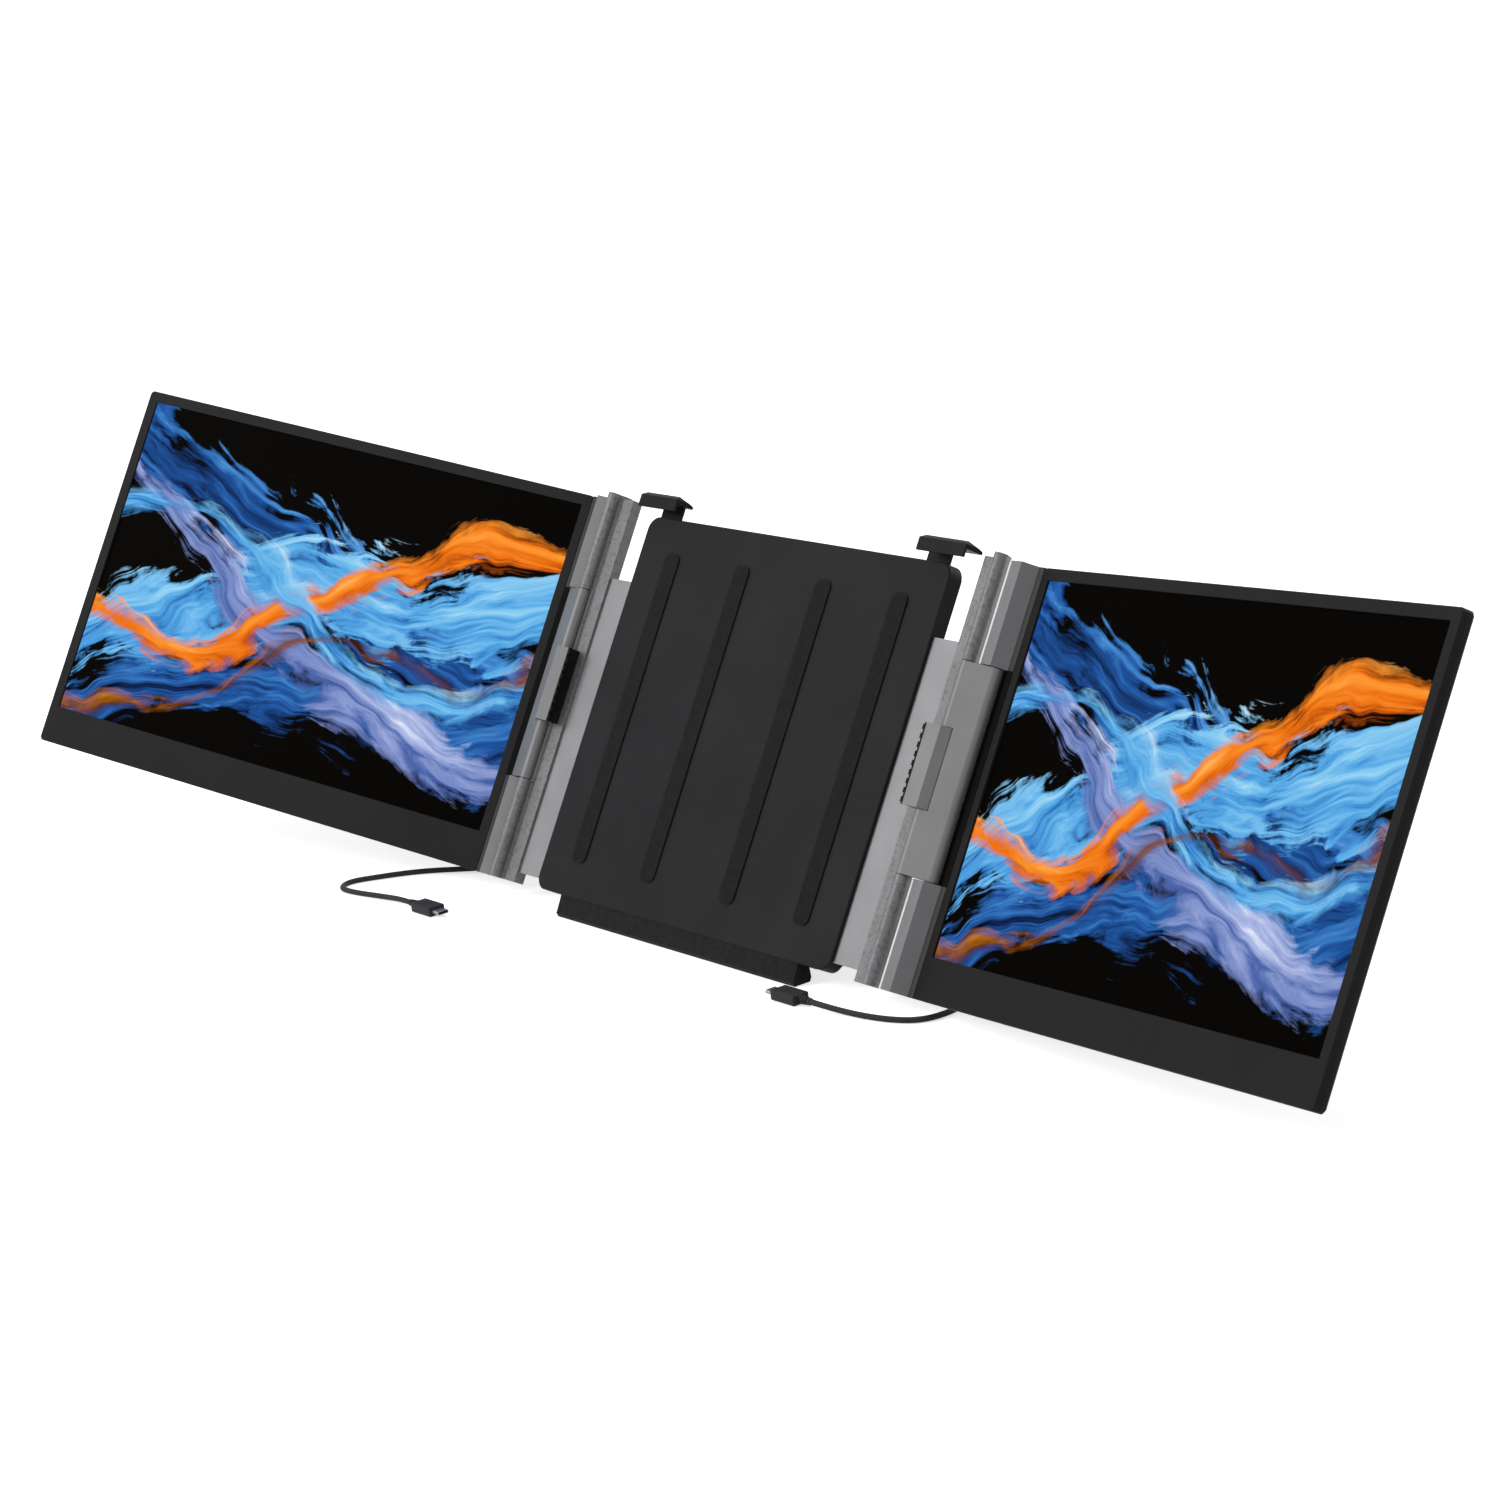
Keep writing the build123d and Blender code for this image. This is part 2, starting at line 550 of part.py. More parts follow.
def cradle(low, high):
    """The hollow that the link's barrel turns in, along the bar between knuckle and jaw."""
    x, y = INNER_AXIS
    lip = y + CRADLE_LIP
    section = outline((BAR_OUTER - 2.2, BAR_FRONT + 0.5), (BAR_OUTER - CRADLE_LIP, lip), (x, lip),
                      (x - 1.6, BAR_BACK - 3), (BAR_OUTER - 0.5, BAR_BACK - 1.5))
    return prism(section - Pos(x, y) * Circle(HINGE_RADIUS + CRADLE_GAP), low, high)


def bracket():
    """The side rail of the frame: a bar with a hinge knuckle at each end."""
    bar = block(BAR_INNER, BAR_OUTER, BAR_FRONT, BAR_BACK, SCREEN_BOTTOM, BAR_TOP)
    back_corners = bar.edges().filter_by(Axis.Z).sort_by(Axis.Y)[-2:]
    bar = chamfer(back_corners, 1.4)
    lower = prism(knuckle_section(), SCREEN_BOTTOM, KNUCKLE_BOTTOM_TOP)
    upper = prism(knuckle_section(), KNUCKLE_TOP_BOTTOM, HINGE_TOP)
    rail = bar + lower + upper
    rail = rail + cradle(KNUCKLE_BOTTOM_TOP, JAW_BOTTOM - JAW_GAP / 2)
    rail = rail + cradle(JAW_TOP + JAW_GAP / 2, KNUCKLE_TOP_BOTTOM)
    rail = rail - round_bar(PIN_RADIUS, *INNER_AXIS, SCREEN_BOTTOM + 1, HINGE_TOP - 1)
    rail = rail - block(BAR_INNER - 1, BAR_INNER + SLIDE_PLATE_TENON, PLATE_FRONT, PLATE_BACK,
                        SLIDE_PLATE_BOTTOM, SLIDE_PLATE_TOP)
    return rail


def jaw():
    """The hook that grips the lid's edge, round the hinge's inner axis."""
    x, y = INNER_AXIS
    lip_front = -LID_CLEARANCE - JAW_LIP
    corner = sqrt(JAW_RADIUS ** 2 - JAW_CORNER_DROP ** 2)
    middle = radians(JAW_ARC_MIDDLE)
    with BuildSketch() as section:
        with BuildLine():
            start = (x + corner, y - JAW_CORNER_DROP)
            Polyline((x, y + JAW_RADIUS), (BAR_OUTER, y + JAW_RADIUS), (BAR_OUTER, BAR_FRONT),
                     (JAW_WALL_INNER, BAR_FRONT), (JAW_WALL_INNER, -LID_CLEARANCE),
                     (LIP_INNER, -LID_CLEARANCE), (LIP_INNER, lip_front), (x + 1.0, lip_front), start)
            ThreePointArc(start, (x + JAW_RADIUS * cos(middle), y + JAW_RADIUS * sin(middle)),
                          (x, y + JAW_RADIUS))
        make_face()
    hook = prism(section.sketch, JAW_BOTTOM, JAW_TOP)
    return hook - round_bar(PIN_RADIUS, x, y, JAW_BOTTOM - 1, JAW_TOP + 1)


def jaw_pad():
    """The ribbed rubber liner inside the jaw, with its toothed lip edge."""
    wall = JAW_WALL_INNER - LID_WIDTH / 2 - 0.1
    liner = block(JAW_WALL_INNER - wall, JAW_WALL_INNER, -LID_CLEARANCE, BAR_FRONT, JAW_BOTTOM, JAW_TOP)
    lip_front = -LID_CLEARANCE - JAW_LIP
    edge = block(LIP_INNER - 0.9, LIP_INNER, lip_front - 0.3, -LID_CLEARANCE, JAW_BOTTOM, JAW_TOP)
    pitch = (JAW_TOP - JAW_BOTTOM) / RUBBER_TEETH
    for index in range(RUBBER_TEETH):
        low = JAW_BOTTOM + pitch * (index + 0.2)
        edge = edge + block(LIP_INNER - 2.1, LIP_INNER - 0.9, lip_front - 0.3, -LID_CLEARANCE,
                            low, low + pitch * 0.6)
    return Compound(children=[liner, edge])


def slide_plate():
    """The aluminium plate that carries the bracket in and out of the frame."""
    outer = BAR_INNER + SLIDE_PLATE_TENON
    height = SLIDE_PLATE_TOP - SLIDE_PLATE_BOTTOM
    sheet = plate(outer - SLIDE_PLATE_INNER, height, SLIDE_PLATE_THICKNESS,
                  x=(outer + SLIDE_PLATE_INNER) / 2, y=PLATE_FRONT, z=SLIDE_PLATE_BOTTOM)
    inner_corners = sheet.edges().filter_by(Axis.Y).sort_by(Axis.X)[:2]
    sheet = fillet(inner_corners, 6)
    slot_half = POST_RADIUS + 0.3
    slot_length = SLIDE_IN + SLIDE_OUT + 2 * slot_half
    slot_middle = POST_REACH + (SLIDE_IN - SLIDE_OUT) / 2
    for height_of_post in POST_HEIGHTS:
        sheet = sheet - plate(slot_length, 2 * slot_half, SLIDE_PLATE_THICKNESS + 2,
                              slot_half - 0.01, x=slot_middle, y=PLATE_FRONT - 1,
                              z=height_of_post - slot_half)
    return sheet


def inner_pin():
    return round_bar(PIN_RADIUS, *INNER_AXIS, SCREEN_BOTTOM + 1, HINGE_TOP - 1)


# ------------------------------------------------------------------ hinge link
LINK_PLACE = Pos(*INNER_AXIS, 0) * Rot(Z=LINK_ANGLE)


def link():
    """The plate between the two hinge axes, drawn with the inner axis at x = 0."""
    low = LINK_BOTTOM + KNUCKLE_GAP / 2
    high = LINK_TOP - KNUCKLE_GAP / 2
    section = (Pos(LINK_PITCH / 2, 0) * Rectangle(LINK_PITCH, 2 * HINGE_RADIUS)
               + Circle(HINGE_RADIUS) + Pos(LINK_PITCH, 0) * Circle(HINGE_RADIUS))
    body = prism(section, low, high)
    notch = round_bar(JAW_RADIUS + JAW_GAP, 0, 0, JAW_BOTTOM - JAW_GAP / 2, JAW_TOP + JAW_GAP / 2)
    body = body - notch
    body = body - round_bar(PIN_RADIUS + RUNNING_GAP, 0, 0, low - 1, high + 1)
    return body - round_bar(PIN_RADIUS, LINK_PITCH, 0, low - 1, high + 1)


def outer_pin():
    return round_bar(PIN_RADIUS, LINK_PITCH, 0, SCREEN_BOTTOM + 1, SCREEN_TOP - 1)


def hinge_washers():
    """Four thrust washers: one where each knuckle meets the link."""
    rings = []
    for x in (0, LINK_PITCH):
        for level in (LINK_BOTTOM, LINK_TOP):
            ring = Cylinder(WASHER_RADIUS, WASHER_THICKNESS) - Cylinder(PIN_RADIUS + RUNNING_GAP, 2)
            rings.append(Pos(x, 0, level) * ring)
    return Compound(children=rings)


# ------------------------------------------------------------------ screens
# Drawn with the outer hinge axis on z: x runs outward along the screen, y backward.
WINDOW_WIDTH = SCREEN_WIDTH - BEZEL_SIDE - BEZEL_OUTER
WINDOW_HEIGHT = SCREEN_HEIGHT - BEZEL_TOP - BEZEL_BOTTOM
WINDOW_MIDDLE = SCREEN_INSET + BEZEL_SIDE + WINDOW_WIDTH / 2
WINDOW_BOTTOM = SCREEN_BOTTOM + BEZEL_BOTTOM
SCREEN_MIDDLE = SCREEN_INSET + SCREEN_WIDTH / 2
SCREEN_CORNER = 3.0
BEZEL_RIM = 1.6
BOARD_BOTTOM = SCREEN_BOTTOM + 4.5
BOARD_FRONT = SCREEN_FRONT + BEZEL_FACE + 1.2
BOARD_BACK = BOARD_FRONT + 1.2
SWITCH_HEIGHT = 1.2
BACKLIGHT_BACK = BACKLIGHT_FRONT + BACKLIGHT_THICKNESS
COVER_SCREW_LENGTH = 3.4
SCREW_MARGIN = 9.0             # screws, from a screen's edges
BOSS_RADIUS = 2.3


def tray_screw_places():
    """Cover screws that go into the backlight's tray."""
    places = [(SCREEN_INSET + SCREW_MARGIN, SCREEN_BOTTOM + share * SCREEN_HEIGHT)
              for share in (0.32, 0.67)]
    places += [(SCREEN_OUTER - SCREW_MARGIN, SCREEN_BOTTOM + share * SCREEN_HEIGHT)
               for share in (0.2, 0.52, 0.84)]
    places += [(SCREEN_INSET + share * SCREEN_WIDTH, SCREEN_TOP - SCREW_MARGIN)
               for share in (0.25, 0.5, 0.75)]
    return places


def chin_screw_places():
    """Cover screws that go into the bezel's chin."""
    return [(SCREEN_INSET + 0.22 * SCREEN_WIDTH, SCREEN_BOTTOM + 7.5),
            (SCREEN_OUTER - SCREW_MARGIN, SCREEN_BOTTOM + 7.5)]


def cover_screw_places():
    return tray_screw_places() + chin_screw_places()


def screw_boss(x, z, front):
    """A boss behind the tray or the chin, drilled for a cover screw."""
    boss = depth_bar(BOSS_RADIUS, x, z, front, LEAF_BACK)
    return boss - depth_bar(SCREW_SHANK, x, z, SCREEN_BACK - COVER_SCREW_LENGTH, LEAF_BACK + 1)


def screen_bezel():
    """The front frame: a thin face round the window with a rim behind its outer edge."""
    frame = plate(SCREEN_WIDTH, SCREEN_HEIGHT, BEZEL_DEPTH, SCREEN_CORNER, x=SCREEN_MIDDLE,
                  y=SCREEN_FRONT, z=SCREEN_BOTTOM)
    frame = chamfer(frame.edges().group_by(Axis.Y)[0], 0.5)
    frame = frame - plate(SCREEN_WIDTH - 2 * BEZEL_RIM, SCREEN_HEIGHT - 2 * BEZEL_RIM, BEZEL_DEPTH, 0.6,
                          x=SCREEN_MIDDLE, y=SCREEN_FRONT + BEZEL_FACE, z=SCREEN_BOTTOM + BEZEL_RIM)
    window = plate(WINDOW_WIDTH, WINDOW_HEIGHT, 3 * BEZEL_FACE, x=WINDOW_MIDDLE,
                   y=SCREEN_FRONT - BEZEL_FACE, z=WINDOW_BOTTOM)
    frame = frame - window
    for x in (SCREEN_INSET + 0.44 * SCREEN_WIDTH, SCREEN_INSET + 0.86 * SCREEN_WIDTH):
        frame = frame + depth_bar(2.2, x, BOARD_BOTTOM + 2.6, SCREEN_FRONT + BEZEL_FACE, BOARD_FRONT)
    for x, z in chin_screw_places():
        frame = frame + screw_boss(x, z, SCREEN_FRONT + BEZEL_FACE)
    return frame


def lcd_panel():
    """The glass, seated behind the bezel's window."""
    return plate(WINDOW_WIDTH + 2 * PANEL_BORDER, WINDOW_HEIGHT + 2 * PANEL_BORDER, PANEL_THICKNESS,
                 x=WINDOW_MIDDLE, y=PANEL_FRONT, z=WINDOW_BOTTOM - PANEL_BORDER)


def backlight():
    """The light guide and its tray behind the glass."""
    tray = plate(WINDOW_WIDTH + 2 * PANEL_BORDER, WINDOW_HEIGHT + 2 * PANEL_BORDER, BACKLIGHT_THICKNESS,
                 x=WINDOW_MIDDLE, y=BACKLIGHT_FRONT, z=WINDOW_BOTTOM - PANEL_BORDER)
    tray = chamfer(tray.edges().group_by(Axis.Y)[-1], 0.5)
    for x, z in tray_screw_places():
        tray = tray + screw_boss(x, z, BACKLIGHT_BACK)
    return tray


def leaf_block(low, high, gap=0.0):
    """The steel leaf of a screen arm, as it runs inside the screen."""
    return block(SCREEN_INSET - 0.6, SCREEN_INSET + LEAF_LENGTH + gap, LEAF_BACK - LEAF_THICKNESS - gap,
                 LEAF_BACK, low - gap, high + gap)


ARM_LEVELS = {"lower": (SCREEN_BOTTOM, KNUCKLE_BOTTOM_TOP), "upper": (KNUCKLE_TOP_BOTTOM, SCREEN_TOP)}
LEAF_MARGIN = 8.0


def back_cover():
    """The moulded back of a screen: bevelled edge, air slots, screw bosses, button holes."""
    depth = SCREEN_BACK - SEAM
    cover = plate(SCREEN_WIDTH, SCREEN_HEIGHT, depth, SCREEN_CORNER, x=SCREEN_MIDDLE, y=SEAM,
                  z=SCREEN_BOTTOM)
    cover = chamfer(cover.edges().group_by(Axis.Y)[-1], COVER_BEVEL)
    rim = COVER_WALL + 1.0
    cover = cover - plate(SCREEN_WIDTH - 2 * rim, SCREEN_HEIGHT - 2 * rim, depth - COVER_WALL, 1.0,
                          x=SCREEN_MIDDLE, y=SEAM, z=SCREEN_BOTTOM + rim)
    for x, z in cover_screw_places():
        cover = cover - screw_hole(x, z, SCREEN_BACK, COVER_SCREW_LENGTH)
    for low, high in ARM_LEVELS.values():
        cover = cover - leaf_block(low + LEAF_MARGIN, high - LEAF_MARGIN, 0.1)
    for row in range(2):
        for index in range(14):
            x = SCREEN_MIDDLE - 65 + 10 * index
            cover = cover - plate(6.5, 1.6, COVER_WALL + 1, x=x, y=LEAF_BACK - 0.5,
                                  z=SCREEN_TOP - 30 - 5 * row)
    for x in (POWER_PLACE, MENU_PLACE):
        cover = cover - depth_bar(BUTTON_RADIUS + 0.15, x, BUTTON_HEIGHT, LEAF_BACK - 1, SCREEN_BACK + 1)
    return cover


def screen_arm(level):
    """One arm of a screen: the knuckle on the outer axis with its leaf inside the screen."""
    low, high = ARM_LEVELS[level]
    with BuildSketch() as section:
        with BuildLine():
            front = (-ARM_NOSE + ARM_CORNER, -ARM_FRONT)
            nose = (-ARM_NOSE, -ARM_FRONT + ARM_CORNER)
            heel = (-ARM_NOSE, 0.0)
            tail = (1.5, 7.4)
            Polyline(tail, (SCREEN_INSET - 0.1, LEAF_BACK - 2.6), (SCREEN_INSET - 0.1, SCREEN_FRONT),
                     (ARM_SHOULDER, SCREEN_FRONT), (ARM_RIDGE, -ARM_FRONT), front)
            RadiusArc(front, nose, ARM_CORNER)
            Line(nose, heel)
            ThreePointArc(heel, (-3.6, 5.2), tail)
        make_face()
    knuckle = prism(section.sketch, low, high)
    leaf = block(0, SCREEN_INSET + LEAF_LENGTH, LEAF_BACK - LEAF_THICKNESS, LEAF_BACK,
                 low + LEAF_MARGIN, high - LEAF_MARGIN)
    root = block(0, SCREEN_INSET - 0.1, 4.0, LEAF_BACK, low + LEAF_MARGIN, high - LEAF_MARGIN)
    arm = knuckle + leaf + root
    return arm - round_bar(PIN_RADIUS + RUNNING_GAP, 0, 0, SCREEN_BOTTOM + 0.9, SCREEN_TOP - 0.9)


def edge_trim():
    """The moulded strip that closes a screen's edge beside the link, between its two arms."""
    strip = block(SCREEN_INSET - EDGE_TRIM_REACH, SCREEN_INSET - RUNNING_GAP, SCREEN_FRONT, LEAF_BACK,
                  KNUCKLE_BOTTOM_TOP + EDGE_TRIM_GAP, KNUCKLE_TOP_BOTTOM - EDGE_TRIM_GAP)
    inner_edges = strip.edges().filter_by(Axis.Z).sort_by(Axis.X)[:2]
    return chamfer(inner_edges, 0.8)


def screen_board():
    """The display board in the chin, with the two button switches."""
    left = SCREEN_INSET + 0.38 * SCREEN_WIDTH
    right = SCREEN_OUTER - 34
    board = block(left, right, BOARD_FRONT, BOARD_BACK, BOARD_BOTTOM, BOARD_BOTTOM + 12.5)
    for x in (left + 20, left + 48, left + 90):
        board = board + block(x, x + 14, BOARD_BACK - 0.1, BOARD_BACK + 1.4,
                              BOARD_BOTTOM + 2, BOARD_BOTTOM + 11)
    for x in (POWER_PLACE, MENU_PLACE):
        board = board + block(x - 3, x + 3, BOARD_BACK - 0.1, BOARD_BACK + SWITCH_HEIGHT,
                              BUTTON_HEIGHT - 3, BUTTON_HEIGHT + 3)
    return board


def screen_screws():
    return Compound(children=[screw(x, z, SCREEN_BACK, COVER_SCREW_LENGTH)
                              for x, z in cover_screw_places()])


def button(x):
    """A push button: a cap through the cover, held by the flange under it."""
    foot_front = BOARD_BACK + SWITCH_HEIGHT + BUTTON_TRAVEL + RUNNING_GAP
    flange_back = LEAF_BACK - 0.2
    cap = depth_bar(BUTTON_RADIUS, x, BUTTON_HEIGHT, foot_front, SCREEN_BACK + 0.3)
    cap = chamfer(cap.edges().group_by(Axis.Y)[-1], 0.3)
    return cap + depth_bar(BUTTON_FLANGE, x, BUTTON_HEIGHT, foot_front, flange_back)


# ------------------------------------------------------------------ top clips
def clip(side):
    """A strap that slides in the frame's top, with a hook over the lid's upper edge."""
    strap_middle = SIDES[side] * CLIP_STRAP_CENTRE
    hook_front = -LID_CLEARANCE - CLIP_LIP
    hook_back = PLATE_FRONT + CLIP_STRAP_THICKNESS
    under = LID_HEIGHT
    top = under + CLIP_BRIDGE
    back_top = under + CLIP_BACK_BRIDGE
    strap = plate(CLIP_STRAP_WIDTH, back_top - 1 - CLIP_STRAP_BOTTOM, CLIP_STRAP_THICKNESS,
                  x=strap_middle, y=PLATE_FRONT, z=CLIP_STRAP_BOTTOM)
    profile = outline((hook_front, under - CLIP_DROP), (-LID_CLEARANCE, under - CLIP_DROP),
                      (-LID_CLEARANCE, under), (hook_back, under), (hook_back, back_top - 0.6),
                      (hook_back - 0.6, back_top), (hook_front + 3.0, top), (hook_front, top - 2.2))
    width = CLIP_WIDTHS[side]
    hook = extrude(Plane.YZ.offset(CLIP_CENTRES[side] - width / 2) * profile, width)
    chamfer_size = 3.0
    for sign in (-1, 1):
        end = CLIP_CENTRES[side] + sign * width / 2
        corner = Pos(end, 0, top) * Rot(Y=45) * Box(chamfer_size, 60, chamfer_size)
        hook = hook - corner
    return strap + hook


# ------------------------------------------------------------------ cables
def plug():
    """A cable plug along +x: metal shell, moulded body and ribbed strain relief."""
    shell = Plane.YZ * RectangleRounded(PLUG_SHELL_WIDTH, PLUG_SHELL_THICKNESS, 1.15)
    bore = Plane.YZ * RectangleRounded(PLUG_SHELL_WIDTH - 2 * SHEET_METAL,
                                       PLUG_SHELL_THICKNESS - 2 * SHEET_METAL, 0.85)
    metal = extrude(shell, PLUG_SHELL_LENGTH + 1) - extrude(bore, PLUG_SHELL_LENGTH - 0.6)
    body_start = PLUG_SHELL_LENGTH
    front = Plane.YZ.offset(body_start) * RectangleRounded(PLUG_BODY_WIDTH, PLUG_BODY_THICKNESS, 2.2)
    body = extrude(front, PLUG_BODY_LENGTH)
    body = chamfer(body.edges().group_by(Axis.X)[-1], 1.2)
    start = body_start + PLUG_BODY_LENGTH
    relief = Pos(start + RELIEF_LENGTH / 2, 0, 0) * Rot(Y=90) * Cone(2.9, 2.2, RELIEF_LENGTH)
    for index in range(3):
        x = start + 2.0 + 2.3 * index
        ring = Pos(x, 0, 0) * Rot(Y=90) * (Cylinder(4, 0.9) - Cylinder(2.0, 2))
        relief = relief - ring
    return metal + body + relief


PLUG_LENGTH = PLUG_SHELL_LENGTH + PLUG_BODY_LENGTH + RELIEF_LENGTH
PLUG_TO_FACE = 0.4             # between the moulded body and the port's face


def frame_plug():
    """The plug in the right-hand port, its broad side up the frame's back."""
    tip = PORT_FACE + PLUG_TO_FACE - PLUG_SHELL_LENGTH
    return LEANING * Pos(tip, PORT_Y, PORT_Z) * Rot(X=90) * plug()


def port_exit():
    """Where the right-hand cable leaves its frame plug."""
    return leaning_point(PORT_FACE + PLUG_TO_FACE - PLUG_SHELL_LENGTH + PLUG_LENGTH, PORT_Y, PORT_Z)


COIL_OUTER = COIL_RADIUS + CABLE_DIAMETER * (COIL_COLUMNS - 1) / 2      # the outer turns' centre line
COIL_HEIGHT = COIL_LAYERS * CABLE_DIAMETER
COIL_ENTRY = (COIL_CENTRE[0] - COIL_OUTER, COIL_CENTRE[1] - COIL_STUB, COIL_HEIGHT - CABLE_DIAMETER / 2)
COIL_EXIT = (COIL_CENTRE[0] + COIL_OUTER, COIL_CENTRE[1] - COIL_STUB, CABLE_DIAMETER / 2)
TABLE_LINE = CABLE_DIAMETER / 2
PLUG_LINE = PLUG_BODY_THICKNESS / 2

# Frame plug to coil, drawn for the right side. The first run points straight out of the plug.
REAR_ROUTE = [port_exit(), (161.5, port_exit()[1], port_exit()[2]), (174.5, 23.0, 13.6),
              (183.2, 34.6, 10.0), (COIL_ENTRY[0], 49.4, COIL_ENTRY[2]), COIL_ENTRY]
# Coil to the laptop plug.
FRONT_ROUTES = {
    "right": [COIL_EXIT, (233.6, 46.0, TABLE_LINE), (232.0, 30.0, TABLE_LINE),
              (236.0, 12.5, TABLE_LINE), (232.5, -4.0, TABLE_LINE), (219.0, -13.0, TABLE_LINE),
              (201.0, -18.0, TABLE_LINE), (185.0, -20.5, TABLE_LINE + 0.3),
              (171.0, -23.3, PLUG_LINE), (157.6, -23.3, PLUG_LINE)],
    "left": [(-COIL_EXIT[0], COIL_EXIT[1], COIL_EXIT[2]), (-233.6, 46.0, TABLE_LINE),
             (-243.0, 29.5, TABLE_LINE), (-258.5, 15.5, TABLE_LINE), (-275.0, 1.5, TABLE_LINE),
             (-287.0, -13.0, TABLE_LINE), (-297.0, -31.0, TABLE_LINE), (-302.8, -43.0, TABLE_LINE),
             (-300.5, -52.2, TABLE_LINE), (-292.7, -57.7, TABLE_LINE), (-276.8, -56.0, TABLE_LINE),
             (-262.0, -52.5, TABLE_LINE), (-247.5, -50.6, TABLE_LINE + 0.6),
             (-234.5, -50.0, PLUG_LINE), (-222.0, -50.0, PLUG_LINE)],
}


def corner_radii(route):
    """The largest tangent arcs that each pair of neighbouring runs leaves room for."""
    radii = []
    for before, corner, after in zip(route, route[1:], route[2:]):
        run_in = Vector(*corner) - Vector(*before)
        run_out = Vector(*after) - Vector(*corner)
        turn = radians(run_in.get_angle(run_out))
        radii.append(0.45 * min(run_in.length, run_out.length) / tan(turn / 2))
    return radii


def cord_tube(route):
    """A round cord along straight runs joined by tangent arcs."""
    path = FilletPolyline(*route, radius=corner_radii(route))
    start = Plane(origin=path @ 0, z_dir=path % 0)
    tube = sweep(start * Circle(CABLE_DIAMETER / 2), path=path)
    section = pi * CABLE_DIAMETER ** 2 / 4
    print("  cord length %.1f, volume / (section x length) %.4f, radii %s" % (
        path.length, tube.volume / (section * path.length),
        " ".join("%.1f" % radius for radius in corner_radii(route))))
    return tube


def cable(side):
    rear = REAR_ROUTE if side == "right" else [(-x, y, z) for x, y, z in REAR_ROUTE]
    return Compound(children=[cord_tube(rear), cord_tube(FRONT_ROUTES[side])])


def cable_coil():
    """The outer shape of the wound spare cable, with a short stub at each end."""
    x, y = COIL_CENTRE
    skin = 0.15                    # keeps the ring's faces off the stubs' own outlines
    height = COIL_HEIGHT - 2 * skin
    half_width = CABLE_DIAMETER * COIL_COLUMNS / 2
    outer = COIL_RADIUS + half_width + skin
    inner = COIL_RADIUS - half_width
    ring = Pos(x, y, COIL_HEIGHT / 2) * (Cylinder(outer, height) - Cylinder(inner, height + 2))
    for stub in (COIL_ENTRY, COIL_EXIT):
        end = Pos(stub[0], stub[1] + COIL_STUB / 2, stub[2]) * Rot(X=90) * Cylinder(
            CABLE_DIAMETER / 2, COIL_STUB)
        ring = ring + end
    return ring


def laptop_plug(side):
    """The plug at the laptop's end, lying flat on the table."""
    end = FRONT_ROUTES[side][-1]
    sign = SIDES[side]
    tip = end[0] - sign * PLUG_LENGTH
    return Pos(tip, end[1], end[2]) * Rot(Z=0 if sign > 0 else 180) * plug()


# ------------------------------------------------------------------ the whole extender
def screen_place(side):
    """Places a piece drawn about the outer axis onto its side's screen."""
    return lambda piece: LEANING * on_side(side, Pos(*OUTER_AXIS, 0) * Rot(Z=-FOLD[side]) * piece)


def make_parts():
    parts = {
        "frame_front_shell": LEANING * frame_front_shell(),
        "frame_back_shell": LEANING * frame_back_shell(),
        "chassis_plate": LEANING * chassis_plate(),
        "slide_rails": LEANING * slide_rails(),
        "lid_pads": LEANING * lid_pads(),
        "frame_screws": LEANING * frame_screws(),
        "driver_board": LEANING * driver_board(),
        "port_sockets": LEANING * port_sockets(),
        "kickstand_pins": LEANING * kickstand_pins(),
        "desk_foot": desk_foot(),
        "kickstand_plate": STAND_PLACE * kickstand_plate(),
        "kickstand_foot": STAND_PLACE * kickstand_foot(),
    }
    for side in SIDES:
        on_frame = {"bracket": bracket(), "jaw": jaw(), "jaw_pad": jaw_pad(),
                    "slide_plate": slide_plate(), "inner_pin": inner_pin()}
        for name, piece in on_frame.items():
            parts[side + "_" + name] = LEANING * on_side(side, piece)
        on_link = {"link": link(), "outer_pin": outer_pin(), "hinge_washers": hinge_washers()}
        for name, piece in on_link.items():
            parts[side + "_" + name] = LEANING * on_side(side, LINK_PLACE * piece)
        on_screen = {"lower_arm": screen_arm("lower"), "upper_arm": screen_arm("upper"),
                     "bezel": screen_bezel(), "lcd_panel": lcd_panel(), "backlight": backlight(),
                     "back_cover": back_cover(), "edge_trim": edge_trim(),
                     "screen_board": screen_board(),
                     "screen_screws": screen_screws(), "power_button": button(POWER_PLACE),
                     "menu_button": button(MENU_PLACE)}
        for name, piece in on_screen.items():
            parts[side + "_" + name] = screen_place(side)(piece)
        parts[side + "_clip"] = LEANING * clip(side)
        parts[side + "_frame_plug"] = on_side(side, frame_plug())
        parts[side + "_coil"] = on_side(side, cable_coil())
        parts[side + "_laptop_plug"] = laptop_plug(side)
        parts[side + "_cable"] = cable(side)
    return parts


os.makedirs("parts", exist_ok=True)
for node, shape in make_parts().items():
    export_step(shape, "parts/" + node + ".step")
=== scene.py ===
# %% [markdown]
# # A laptop screen extender
#
# A slim frame stands behind a laptop's open lid and holds one display on each side of it.
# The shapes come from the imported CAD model. Blender adds the camera, the light, the finishes,
# the picture on the displays, and the soft pieces that CAD only roughs out: two cables with
# their plugs and ties. Everything is in metres, and the table top is z = 0.

import math

import bmesh
import bpy
from mathutils import Matrix, Vector


